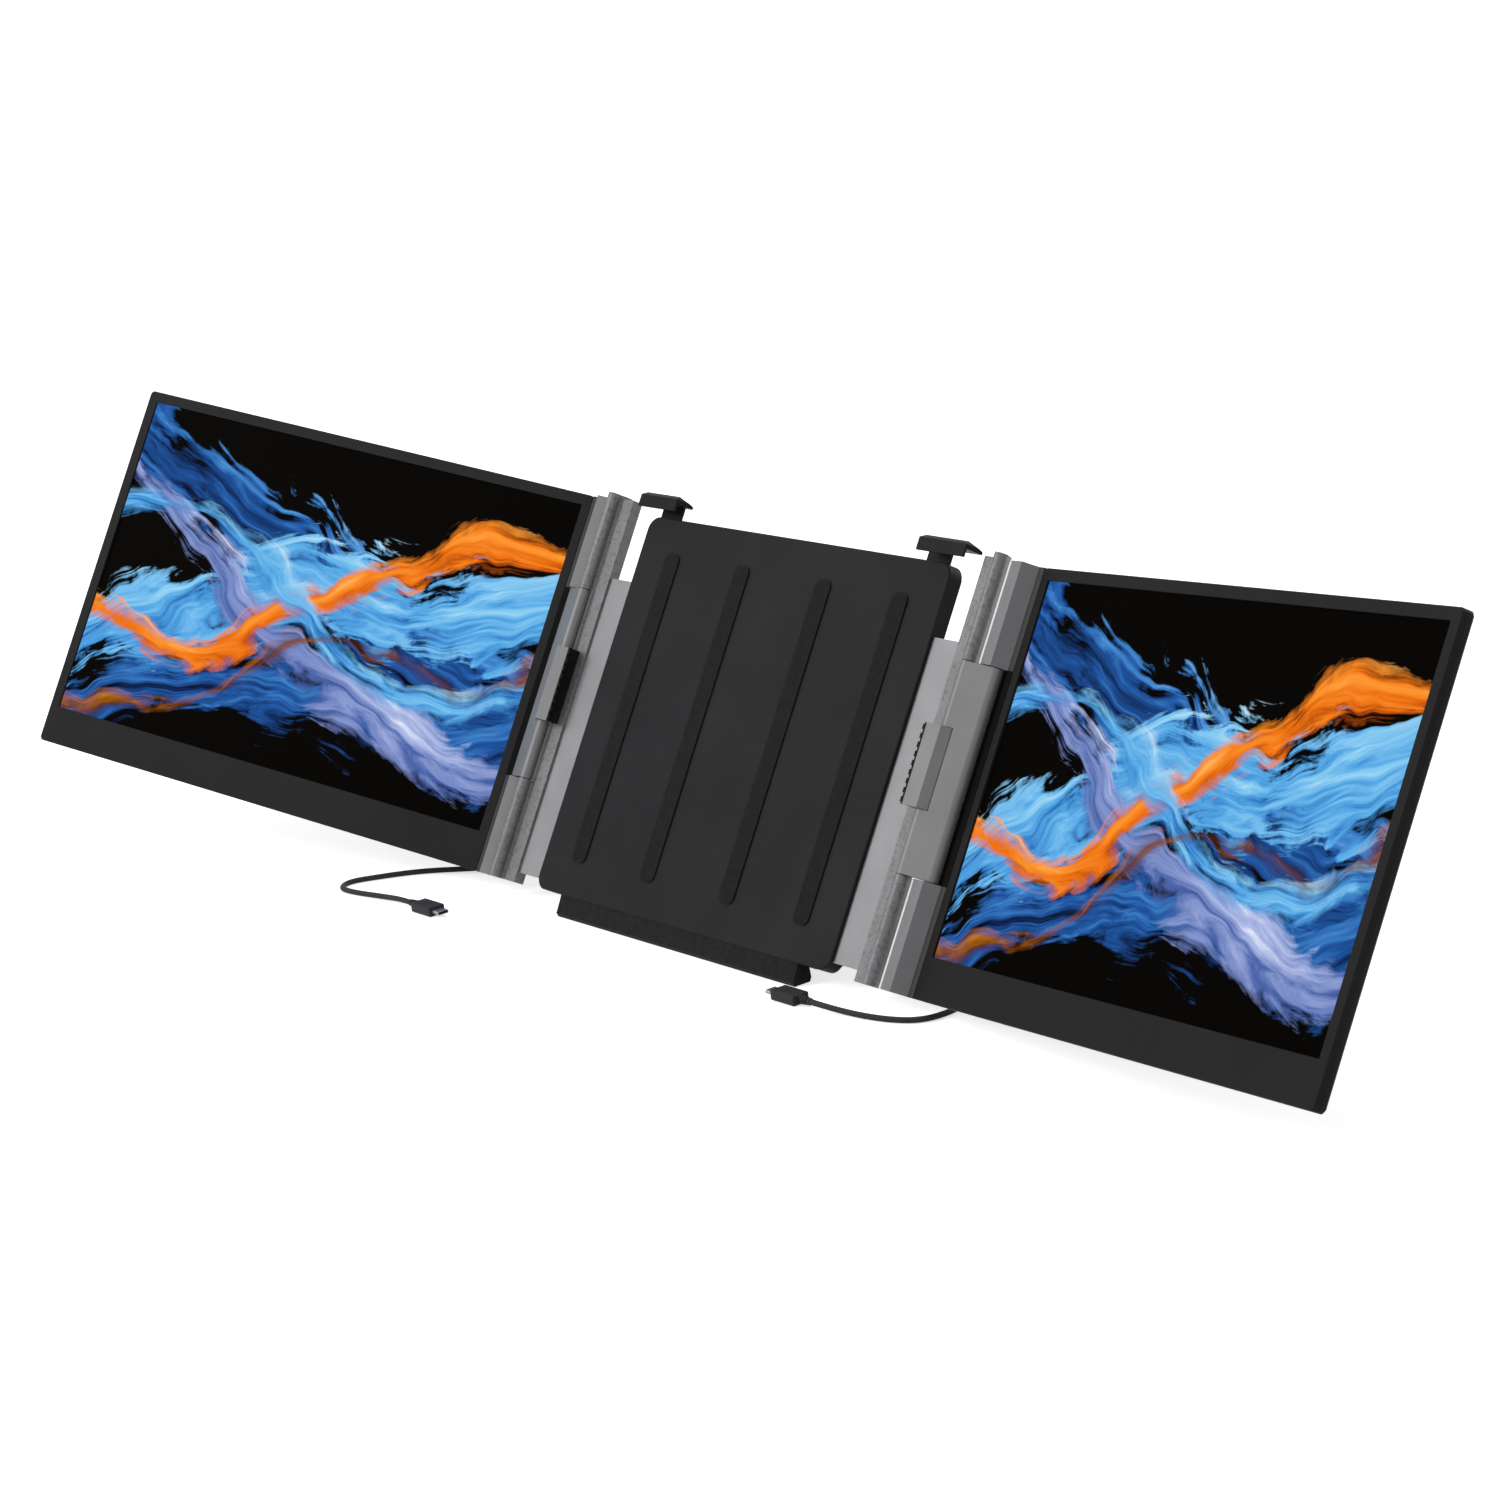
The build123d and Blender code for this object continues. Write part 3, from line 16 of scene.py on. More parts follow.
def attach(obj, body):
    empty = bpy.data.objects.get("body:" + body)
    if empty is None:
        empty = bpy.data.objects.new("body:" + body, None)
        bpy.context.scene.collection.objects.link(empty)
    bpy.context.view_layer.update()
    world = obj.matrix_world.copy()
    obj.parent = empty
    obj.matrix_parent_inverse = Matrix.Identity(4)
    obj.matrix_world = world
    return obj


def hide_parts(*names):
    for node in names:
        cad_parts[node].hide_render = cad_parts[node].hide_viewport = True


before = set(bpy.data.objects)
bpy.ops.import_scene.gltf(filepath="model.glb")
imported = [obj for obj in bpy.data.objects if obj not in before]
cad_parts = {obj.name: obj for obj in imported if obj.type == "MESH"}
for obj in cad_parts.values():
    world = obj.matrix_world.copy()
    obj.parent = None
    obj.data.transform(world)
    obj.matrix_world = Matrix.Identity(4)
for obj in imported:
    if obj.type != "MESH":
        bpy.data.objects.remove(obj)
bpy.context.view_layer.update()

# %% [markdown]
# ## The frame's own axes
#
# The extender leans back with the lid. Its designer drew it upright and tipped it over its
# foot, so one small function that does the same makes every later place easy to read:
# x along the lid's hinge line, y back through the lid, z up the lid, all in millimetres.

# %% From upright millimetres to leaning metres
LEAN = math.radians(29.9)
STANCE = Vector((0, -3.0, 28.0))
TIP = Matrix.Rotation(-LEAN, 4, "X")
MM = 0.001


def leaning(x, y, z):
    """A point of the upright drawing, in metres, where it stands on the table."""
    return (TIP @ Vector((x, y, z)) + STANCE) * MM


def leaning_matrix():
    return Matrix.Scale(MM, 4) @ Matrix.Translation(STANCE) @ TIP


print("lid hinge line", leaning(0, 0, 0), "lid top", leaning(0, 0, 244.5))

# %% [markdown]
# ## Camera
#
# The view is from the right front and a little above, through a long lens, so that the far
# display is only slightly smaller than the near one. The lens is given for a 36 mm sensor.

# %% Camera
view_right = Vector((0.61274, 0.78288, -0.10796))
view_up = Vector((-0.13989, 0.24190, 0.96016))
view_back = Vector((0.77780, -0.57323, 0.25774))

lens = bpy.data.cameras.new("camera")
lens.lens = 97.28
lens.sensor_width = 36.0
lens.shift_x = -0.00345
lens.shift_y = -0.00055
lens.clip_end = 50
camera = bpy.data.objects.new("camera", lens)
bpy.context.scene.collection.objects.link(camera)
turn = Matrix((view_right, view_up, view_back)).transposed().to_4x4()
camera.matrix_world = Matrix.Translation((1.92612, -1.34619, 0.74536)) @ turn
bpy.context.scene.camera = camera
print("camera at", camera.location)

# %% [markdown]
# ## Helpers for finishes
#
# Colours are written as the hex values that a paint card gives. Blender mixes light in linear
# values, so one function turns hex to linear. Another adds a node with its settings and its
# links in one line, which keeps each finish short enough to read as a recipe. Where an input is
# given a whole node, it takes that node's first output.

# %% Colour and node helpers


def linear(code):
    """An sRGB hex colour as Blender's linear RGBA."""
    values = [int(code[i:i + 2], 16) / 255 for i in (1, 3, 5)]
    values = [v / 12.92 if v <= 0.04045 else ((v + 0.055) / 1.055) ** 2.4 for v in values]
    return (*values, 1.0)


def add(owner, kind, settings=None, **inputs):
    """Adds a node to a material or the world. Settings are its own properties, and "stops" a
    colour ramp's (position, hex or grey) stops; inputs are values, or sockets or nodes to link."""
    tree = owner.node_tree
    node = tree.nodes.new(kind)
    settings = dict(settings or {})
    stops = settings.pop("stops", [])
    for name, setting in settings.items():
        setattr(node, name, setting)
    if stops:
        elements = node.color_ramp.elements
        while len(elements) < len(stops):
            elements.new(0.5)
        for element, (position, colour) in zip(elements, stops):
            element.position = position
            element.color = linear(colour) if isinstance(colour, str) else (*[colour] * 3, 1)
    for name, given in inputs.items():
        key = int(name[1:]) if name[0] == "i" and name[1:].isdigit() else name.replace("_", " ")
        if isinstance(given, bpy.types.Node):
            given = given.outputs[0]
        if isinstance(given, bpy.types.NodeSocket):
            tree.links.new(given, node.inputs[key])
        else:
            node.inputs[key].default_value = given
    return node


def new_material(name):
    """An empty material with its shader and output; returns the material and the shader."""
    material = bpy.data.materials.new(name)
    material.use_nodes = True
    material.node_tree.nodes.clear()
    shader = add(material, "ShaderNodeBsdfPrincipled")
    add(material, "ShaderNodeOutputMaterial", Surface=shader.outputs[0])
    return material, shader


def wire(material, source, node, name):
    """Links a socket, or a node's first output, to a node that is there already."""
    if isinstance(source, bpy.types.Node):
        source = source.outputs[0]
    material.node_tree.links.new(source, node.inputs[name])


print("finish helpers ready")

# %% [markdown]
# ## Moulded plastic
#
# The housings are ABS and polycarbonate, moulded in steel tools that were spark-eroded. That
# leaves a matt grain of a tenth of a millimetre or so, which the eye sees as a soft, even sheen,
# with slight cloudiness where the melt flowed. So fine a grain would be lost, and it is drawn at
# 0.45 mm, two grains to a wave of the noise. The noise bumps the surface and varies its
# roughness; a much larger one shifts the colour by a few percent.

# %% Moulded plastic


FLOW = 60.0


def moulded(name, colour, cloud, roughness, grain_mm=0.45, bump=0.12, gloss=0.05):
    """Spark-eroded ABS: colour, a slightly different cloud colour, roughness and grain size."""
    material, shader = new_material(name)
    place = add(material, "ShaderNodeTexCoord").outputs["Object"]
    grain = add(material, "ShaderNodeTexNoise", Vector=place, Scale=1 / (grain_mm * MM * 2),
                Detail=2.0)
    flow = add(material, "ShaderNodeTexNoise", Vector=place, Scale=1 / (FLOW * MM), Detail=3.0)
    tint = add(material, "ShaderNodeValToRGB", {"stops": [(0.35, colour), (0.7, cloud)]}, i0=flow)
    wire(material, tint, shader, "Base Color")
    rough = add(material, "ShaderNodeMapRange", Value=grain, To_Min=roughness - 0.06,
                To_Max=roughness + 0.06)
    wire(material, rough, shader, "Roughness")
    height = add(material, "ShaderNodeBump", Height=grain, Strength=bump, Distance=0.0001)
    wire(material, height, shader, "Normal")
    shader.inputs["Specular IOR Level"].default_value = gloss
    return material


abs_frame = moulded("moulded_abs_charcoal", "#212123", "#262628", 0.52)
abs_cover = moulded("moulded_abs_black", "#1f1f20", "#232324", 0.5, gloss=0.06)
abs_strip = moulded("moulded_abs_strip", "#0e0e0e", "#111111", 0.55, gloss=0.02)
abs_bezel = moulded("moulded_pc_abs_bezel", "#212121", "#242424", 0.46, 0.35, gloss=0.03)
abs_clip = moulded("moulded_nylon_clip", "#191919", "#1e1e1e", 0.42)
abs_plug = moulded("moulded_tpe_plug", "#2e2e30", "#343436", 0.5, gloss=0.08)
acetal = moulded("turned_acetal_black", "#1a1a1a", "#1f1f1f", 0.35, 0.2, 0.05, 0.3)
print("moulded plastics", 7)

# %% [markdown]
# ## Rubber and silicone
#
# The lid pads, the foot and the jaws' liners are silicone rubber, and the cable jackets a
# thermoplastic elastomer. They are matt, a shade lighter at a grazing angle, and pick up a little
# dust, in patches of some 4 mm. A higher roughness, a touch of sheen and a fine bump give that.

# %% Rubber
DUST = 4.0
SKIN = 0.8


def soft_rubber(name, colour, cloud, roughness, sheen):
    """Moulded elastomer with a dusty edge sheen."""
    material, shader = new_material(name)
    place = add(material, "ShaderNodeTexCoord").outputs["Object"]
    dust = add(material, "ShaderNodeTexNoise", Vector=place, Scale=1 / (DUST * MM), Detail=5.0)
    fine = add(material, "ShaderNodeTexNoise", Vector=place, Scale=1 / (SKIN * MM), Detail=2.0)
    tint = add(material, "ShaderNodeValToRGB", {"stops": [(0.4, colour), (0.75, cloud)]}, i0=dust)
    wire(material, tint, shader, "Base Color")
    height = add(material, "ShaderNodeBump", Height=fine, Strength=0.15, Distance=0.0001)
    wire(material, height, shader, "Normal")
    shader.inputs["Roughness"].default_value = roughness
    shader.inputs["Specular IOR Level"].default_value = 0.08
    shader.inputs["Sheen Weight"].default_value = sheen
    shader.inputs["Sheen Roughness"].default_value = 0.5
    return material


silicone = soft_rubber("silicone_pad_black", "#111111", "#191919", 0.75, 0.03)
foot_rubber = soft_rubber("foot_rubber_black", "#161616", "#202020", 0.8, 0.06)
jacket = soft_rubber("cable_jacket_tpe", "#2e2f30", "#363738", 0.5, 0.02)
print("rubbers", 3)

# %% [markdown]
# ## Metals
#
# The brackets, links and arms are aluminium, bead-blasted and anodised grey. The oxide layer is
# thick, so they look more like paint than like bare metal, with a soft, broad highlight. The
# blasting leaves dimples of a tenth of a millimetre, drawn at half a millimetre so that they
# show. The brackets' knuckles are left as cast, with small dark pits. A thin near-white line is
# painted along one long edge of each arm's front: a painted highlight beside the knuckle. Screws
# and pins are zinc-plated steel, and the slide plates are milled.

# %% Anodised aluminium and steel
DIMPLE = 0.5
OXIDE_CLOUD = 25.0


def blasted(name, colour, cloud, roughness, pit_mm, pit_share, metal, gloss=0.5):
    """Bead-blasted, anodised metal; pits of about a size darken a share of it."""
    material, shader = new_material(name)
    place = add(material, "ShaderNodeTexCoord").outputs["Object"]
    grain = add(material, "ShaderNodeTexNoise", Vector=place, Scale=1 / (DIMPLE * MM), Detail=2.0)
    cells = add(material, "ShaderNodeTexNoise", Vector=place, Scale=1 / (pit_mm * MM), Detail=3.0,
                Roughness=0.7)
    pits = add(material, "ShaderNodeValToRGB", {"stops": [(0.5, 0.0), (0.62, pit_share)]}, i0=cells)
    flow = add(material, "ShaderNodeTexNoise", Vector=place, Scale=1 / (OXIDE_CLOUD * MM),
               Detail=4.0)
    tint = add(material, "ShaderNodeValToRGB", {"stops": [(0.35, colour), (0.7, cloud)]}, i0=flow)
    darker = add(material, "ShaderNodeMix", {"data_type": "RGBA"}, i0=pits, i6=tint,
                 i7=linear("#2a2a2a"))
    wire(material, darker.outputs[2], shader, "Base Color")
    rough = add(material, "ShaderNodeMapRange", Value=grain, To_Min=roughness - 0.05,
                To_Max=roughness + 0.08)
    wire(material, rough, shader, "Roughness")
    height = add(material, "ShaderNodeBump", Height=grain, Strength=0.1, Distance=0.0001)
    wire(material, height, shader, "Normal")
    shader.inputs["Metallic"].default_value = metal
    shader.inputs["Specular IOR Level"].default_value = gloss
    return material


rail_metal = blasted("cast_aluminium_bracket", "#78787a", "#6f6f70", 0.5, 2.2, 0.4, 0.25, 0.3)
jaw_metal = blasted("anodised_aluminium_jaw", "#737374", "#6d6d6e", 0.45, 1.6, 0.0, 0.25, 0.3)
link_metal = blasted("anodised_aluminium_link", "#747475", "#6e6e6f", 0.45, 1.6, 0.0, 0.25, 0.3)
steel = blasted("zinc_plated_steel", "#8f9193", "#84868a", 0.35, 1.2, 0.0, 0.9)
milled = blasted("milled_aluminium_plate", "#838385", "#7c7c7e", 0.5, 1.5, 0.0, 0.4, 0.3)
print("metals", 5)

# %% [markdown]
# ## Circuit board
#
# The boards are glass-fibre laminate under a green solder mask, with tinned pads. They only show
# through the cover's air slots.

# %% Circuit board
laminate, laminate_shader = new_material("solder_masked_laminate")
board_place = add(laminate, "ShaderNodeTexCoord").outputs["Object"]
tracks = add(laminate, "ShaderNodeTexBrick", Vector=board_place, Scale=1 / (6 * MM),
             Color1=linear("#0f4a2c"), Color2=linear("#0c3f26"), Mortar=linear("#1c6a42"),
             Mortar_Size=0.06)
wire(laminate, tracks, laminate_shader, "Base Color")
laminate_shader.inputs["Roughness"].default_value = 0.35
print("laminate ready")

# %% [markdown]
# ## Cables
#
# Each display's cable leaves its plug at the back of the frame, drops to the table, is wound into
# a neat coil behind the screen, and comes forward to the laptop. A real cable is one length, so
# one curve follows the whole way: the rear run, every turn of the coil, and the front run. A
# NURBS curve rounds the corners by itself, as a soft jacket does.

# %% Cable routes
CABLE = 3.6
COIL_X, COIL_Y = 210.0, 80.0
COIL_MIDDLE = 20.0

RELIEF_TIP = (147.4, 23.9, -0.5)
TABLE = CABLE / 2
PLUG_HEIGHT = 3.32
plug_exit = leaning(*RELIEF_TIP) / MM
COIL_START = Vector((COIL_X - COIL_MIDDLE - CABLE, 64.0, CABLE * 1.5))
COIL_END = Vector((COIL_X + COIL_MIDDLE + CABLE, 64.0, TABLE))

rear_route = [plug_exit, Vector((161.5, plug_exit.y, plug_exit.z)), Vector((174.5, 23.0, 13.6)),
              Vector((183.2, 34.6, 10.0)), Vector((COIL_START.x, 49.4, COIL_START.z)), COIL_START]
front_routes = {
    "right": [COIL_END, (233.6, 46.0, TABLE), (232.0, 30.0, TABLE), (236.0, 12.5, TABLE),
              (232.5, -4.0, TABLE), (219.0, -13.0, TABLE), (201.0, -18.0, TABLE),
              (185.0, -20.5, TABLE + 0.3), (171.0, -23.3, PLUG_HEIGHT),
              (157.6, -23.3, PLUG_HEIGHT)],
    "left": [(-COIL_END.x, COIL_END.y, COIL_END.z), (-233.6, 46.0, TABLE), (-243.0, 29.5, TABLE),
             (-258.5, 15.5, TABLE), (-275.0, 1.5, TABLE), (-287.0, -13.0, TABLE),
             (-297.0, -31.0, TABLE), (-302.8, -43.0, TABLE), (-300.5, -52.2, TABLE),
             (-292.7, -57.7, TABLE), (-276.8, -56.0, TABLE), (-262.0, -52.5, TABLE),
             (-247.5, -50.6, TABLE + 0.6), (-234.5, -50.0, PLUG_HEIGHT),
             (-222.0, -50.0, PLUG_HEIGHT)],
}
print("route points", len(rear_route), {side: len(route) for side, route in front_routes.items()})

# %% [markdown]
# ### The coil
#
# The coil has two layers of three turns. The cable comes in on the outside of the top layer,
# works its way in, drops to the lower layer and works its way out again, so it never crosses
# itself. Each change of lane takes a tenth of a turn, and happens a little earlier on the next
# turn, which leaves every lane free just in time.

# %% Coil turns
POINTS_PER_TURN = 20
LANES = [(1, 1.5), (0, 1.5), (-1, 1.5), (-1, 0.5), (0, 0.5), (1, 0.5)]
TURNS = 5.5
SHIFT = 36.0
FIRST_SHIFT = 360.0 - SHIFT
SLACK = 1.006


def lane_at(turned):
    """Radius and height of the cable's centre line, once it has turned that many degrees."""
    place = 0.0
    for index in range(len(LANES) - 1):
        start = FIRST_SHIFT * (index + 1)
        place += min(max((turned - start) / SHIFT, 0.0), 1.0)
    lane = min(int(place), len(LANES) - 2)
    share = place - lane
    share = share * share * (3 - 2 * share)
    (column, row), (next_column, next_row) = LANES[lane], LANES[lane + 1]
    radius = COIL_MIDDLE + CABLE * (column + (next_column - column) * share)
    return radius * SLACK, CABLE * (row + (next_row - row) * share)


def coil_points():
    """The cable's way round the coil, seen from above clockwise, from the left to the right."""
    points = []
    for step in range(1, int(TURNS * POINTS_PER_TURN)):
        turned = 360 * step / POINTS_PER_TURN
        radius, height = lane_at(turned)
        angle = math.radians(180 - turned)
        points.append(Vector((COIL_X + radius * math.cos(angle),
                              COIL_Y + radius * math.sin(angle), height)))
    return points


print("coil points", len(coil_points()))

# %% [markdown]
# ### One curve per cable
#
# The curve's order and its clamped ends are set after the points are added. Set before, Blender
# keeps the order at two, which would give straight runs. A curve's box counts the radius of its
# points, which is a metre unless told otherwise. So the points carry the jacket's radius, and the
# bevel's depth is one.

# %% Cables


def mirrored(point):
    return Vector((-point[0], point[1], point[2]))


def spline_length(curve):
    """The length of a curve's line, read from the mesh that Blender makes of it without bevel."""
    depth = curve.data.bevel_depth
    curve.data.bevel_depth = 0
    bpy.context.view_layer.update()
    mesh = bpy.data.meshes.new_from_object(curve)
    total = sum((mesh.vertices[e.vertices[0]].co - mesh.vertices[e.vertices[1]].co).length
                for e in mesh.edges)
    bpy.data.meshes.remove(mesh)
    curve.data.bevel_depth = depth
    bpy.context.view_layer.update()
    return total


def make_cable(side):
    rear, coil = list(rear_route), coil_points()
    if side == "left":
        rear, coil = [mirrored(p) for p in rear], [mirrored(p) for p in coil]
    points = rear + coil + [Vector(p) for p in front_routes[side]]
    data = bpy.data.curves.new(side + "_cable_line", "CURVE")
    data.dimensions = "3D"
    data.resolution_u = 6
    data.bevel_depth = 1.0
    data.bevel_resolution = 5
    data.use_fill_caps = True
    spline = data.splines.new("NURBS")
    spline.points.add(len(points) - 1)
    for target, point in zip(spline.points, points):
        target.co = (*(Vector(point) * MM), 1.0)
        target.radius = CABLE / 2 * MM
    spline.order_u = 3
    spline.use_endpoint_u = True
    cable = bpy.data.objects.new(side + "_cable_line", data)
    bpy.context.scene.collection.objects.link(cable)
    data.materials.append(jacket)
    return cable


cables = {}
for side in ("left", "right"):
    cables[side] = make_cable(side)
    print(side, "cable length", round(spline_length(cables[side]), 4))

# %% [markdown]
# ### Plugs
#
# Each end of a cable has the same plug: a drawn steel shell, a soft moulded grip, and a ribbed
# relief that keeps the cable from kinking. The grip is a cube with rounded long edges. The
# relief is a profile spun about the cable's line. The plugs on the table rest on their grips' ribs.

# %% Plug mesh
SHELL_LENGTH = 6.6
SHELL_HALF = (4.15, 1.25)
GRIP_LENGTH = 22.0
GRIP_HALF = (6.0, 3.2)
RIB_HALF, RIB_HEIGHT = 3.6, 0.12
RIB_START, RIB_PITCH, RIB_WIDTH = 8.5, 1.9, 0.8
RELIEF_LENGTH = 9.0
RING_START, RING_PITCH = 1.2, 2.4
FRAME_PLUG = (109.8, 23.9, -0.5)


def new_piece(name, shape, place, materials):
    """Turns a bmesh in millimetres into an object whose place is in its mesh."""
    shape.transform(place)
    if place.determinant() < 0:
        bmesh.ops.reverse_faces(shape, faces=shape.faces[:])
    mesh = bpy.data.meshes.new(name)
    shape.to_mesh(mesh)
    shape.free()
    for material in materials:
        mesh.materials.append(material)
    piece = bpy.data.objects.new(name, mesh)
    bpy.context.scene.collection.objects.link(piece)
    return piece


def rounded_box(shape, low, high, radius, segments=3, along=None, material=0):
    """Adds a box between two corners, with its edges rounded; along limits that to one axis."""
    low, high = Vector(low), Vector(high)
    size = high - low
    made = bmesh.ops.create_cube(shape, size=1.0, matrix=Matrix.Translation((low + high) / 2)
                                 @ Matrix.Diagonal((*size, 1)))
    edges = {edge for vert in made["verts"] for edge in vert.link_edges}
    if along is not None:
        edges = {e for e in edges
                 if abs((e.verts[0].co - e.verts[1].co).normalized()[along]) > 0.9}
    faces = {face for vert in made["verts"] for face in vert.link_faces}
    for face in faces:
        face.material_index = material
    if radius:
        bmesh.ops.bevel(shape, geom=list(edges), offset=radius, affect="EDGES", segments=segments,
                        profile=0.5, material=-1)


def spun(shape, profile, material=0, steps=28):
    """Adds a solid of revolution about x; the profile is a row of (x, radius) points."""
    before = set(shape.faces)
    verts = [shape.verts.new((x, radius, 0)) for x, radius in profile]
    edges = [shape.edges.new(pair) for pair in zip(verts, verts[1:])]
    bmesh.ops.spin(shape, geom=verts + edges, axis=(1, 0, 0), cent=(0, 0, 0),
                   angle=2 * math.pi, steps=steps, use_merge=True)
    new_faces = [face for face in shape.faces if face not in before]
    bmesh.ops.recalc_face_normals(shape, faces=new_faces)
    for face in new_faces:
        face.material_index = material


def plug_shape():
    """A plug along x: slot 0 is the shell's steel, 1 the grip, 2 the relief."""
    shape = bmesh.new()
    width, height = SHELL_HALF
    rounded_box(shape, (0, -width, -height), (SHELL_LENGTH + 1, width, height), 1.2, 4, along=0)
    mouth = min(shape.faces, key=lambda face: face.calc_center_median().x)
    bmesh.ops.inset_region(shape, faces=[mouth], thickness=0.35)
    pushed = bmesh.ops.extrude_face_region(shape, geom=[mouth])
    inner = [item for item in pushed["geom"] if isinstance(item, bmesh.types.BMVert)]
    bmesh.ops.delete(shape, geom=[mouth], context="FACES_ONLY")
    bmesh.ops.translate(shape, verts=inner, vec=(SHELL_LENGTH - 0.8, 0, 0))
    start = SHELL_LENGTH
    end = start + GRIP_LENGTH
    width, height = GRIP_HALF
    rounded_box(shape, (start, -width, -height), (end, width, height), 1.1, 4, material=1)
    for step in range(4):
        x = start + RIB_START + RIB_PITCH * step
        for side in (-1, 1):
            rounded_box(shape, (x, -RIB_HALF, side * height - RIB_HEIGHT),
                        (x + RIB_WIDTH, RIB_HALF, side * height + RIB_HEIGHT), 0.1, 1, material=1)
    rings = [(end - 0.6, 2.9)]
    for step in range(3):
        x = end + RING_START + RING_PITCH * step
        radius = 2.85 - 0.2 * step
        rings += [(x, radius), (x + 0.15, radius - 0.75), (x + 0.95, radius - 0.8),
                  (x + 1.1, radius - 0.15)]
    tip = end + RELIEF_LENGTH
    rings += [(tip - 0.3, 2.2), (tip, 1.95), (tip, 0.0)]
    spun(shape, rings, material=2)
    return shape


plug_places = {
    "right_frame_plug": leaning_matrix() @ Matrix.Translation(FRAME_PLUG)
    @ Matrix.Rotation(math.pi / 2, 4, "X"),
    "right_laptop_plug": Matrix.Scale(MM, 4) @ Matrix.Translation((120.0, -23.3, PLUG_HEIGHT)),
    "left_laptop_plug": Matrix.Scale(MM, 4) @ Matrix.Translation((-184.4, -50.0, PLUG_HEIGHT))
    @ Matrix.Rotation(math.pi, 4, "Z"),
}
FLIP = Matrix.Diagonal((-1, 1, 1, 1))
plug_places["left_frame_plug"] = FLIP @ plug_places["right_frame_plug"]

plugs = {}
for node, place in plug_places.items():
    plugs[node] = new_piece(node + "_moulded", plug_shape(), place, [steel, abs_plug, jacket])
    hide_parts(node)
    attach(plugs[node], "frame")
print("plugs", len(plugs))

# %% [markdown]
# ### Ties
#
# A hook-and-loop strap goes once round each coil. It is a box without its two ends, rounded along
# its length and given the strap's thickness. Its free end lies on top, as a second layer.

# %% Ties
STRAP_WIDTH = 8.0
STRAP_THICKNESS = 0.45
FREE_END = (-3.5, 4.5)


def tie_shape():
    shape = bmesh.new()
    left, right = COIL_X - STRAP_WIDTH / 2, COIL_X + STRAP_WIDTH / 2
    middle = COIL_Y + COIL_MIDDLE
    half = CABLE * 1.5 + STRAP_THICKNESS
    top = 2 * CABLE + STRAP_THICKNESS
    rounded_box(shape, (left, middle - half, 0.0), (right, middle + half, top), 1.7, 4, along=0)
    ends = [face for face in shape.faces if abs(face.normal.x) > 0.9]
    bmesh.ops.delete(shape, geom=ends, context="FACES_ONLY")
    bmesh.ops.solidify(shape, geom=shape.faces[:], thickness=STRAP_THICKNESS)
    rounded_box(shape, (left, middle + FREE_END[0], top),
                (right, middle + FREE_END[1], 2 * CABLE + 2.6 * STRAP_THICKNESS), 0.25, 2)
    return shape


ties = {
    "right": new_piece("right_cable_tie", tie_shape(), Matrix.Scale(MM, 4), [silicone]),
    "left": new_piece("left_cable_tie", tie_shape(), FLIP @ Matrix.Scale(MM, 4), [silicone]),
}
for side, tie in ties.items():
    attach(tie, "frame")
    cable = cables[side]
    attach(cable, "frame")
    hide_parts(side + "_cable", side + "_coil")
    round(spline_length(cable), 4)
print("ties", len(ties))

# %% [markdown]
# ## The displays
#
# Each display is a liquid-crystal panel behind an anti-reflective film. What the eye sees is the
# picture's own light, so the finish is mostly emission, with only a trace of gloss. The picture
# is a generic wallpaper of this lesson's own: ribbons of blue and orange powder drifting across
# a black ground. It is worked out from noise on the panel's own UV map, so it stays on the glass
# when a display folds.
#
# A ribbon is a band round a gently swaying line. Noise stretched along the band gives the
# streaks, and the same streaks eat into its edges, which makes them feathered.

# %% Picture nodes
LIT_LOW = Vector((18.6, 5.2, 12.7))
LIT_HIGH = Vector((386.1, 6.4, 236.2))
ASPECT = (LIT_HIGH.x - LIT_LOW.x) / (LIT_HIGH.z - LIT_LOW.z)
STREAKS_ALONG, STREAKS_ACROSS = 2.2, 15.0
FEATHER = 2.4
SHARPNESS = 26.0


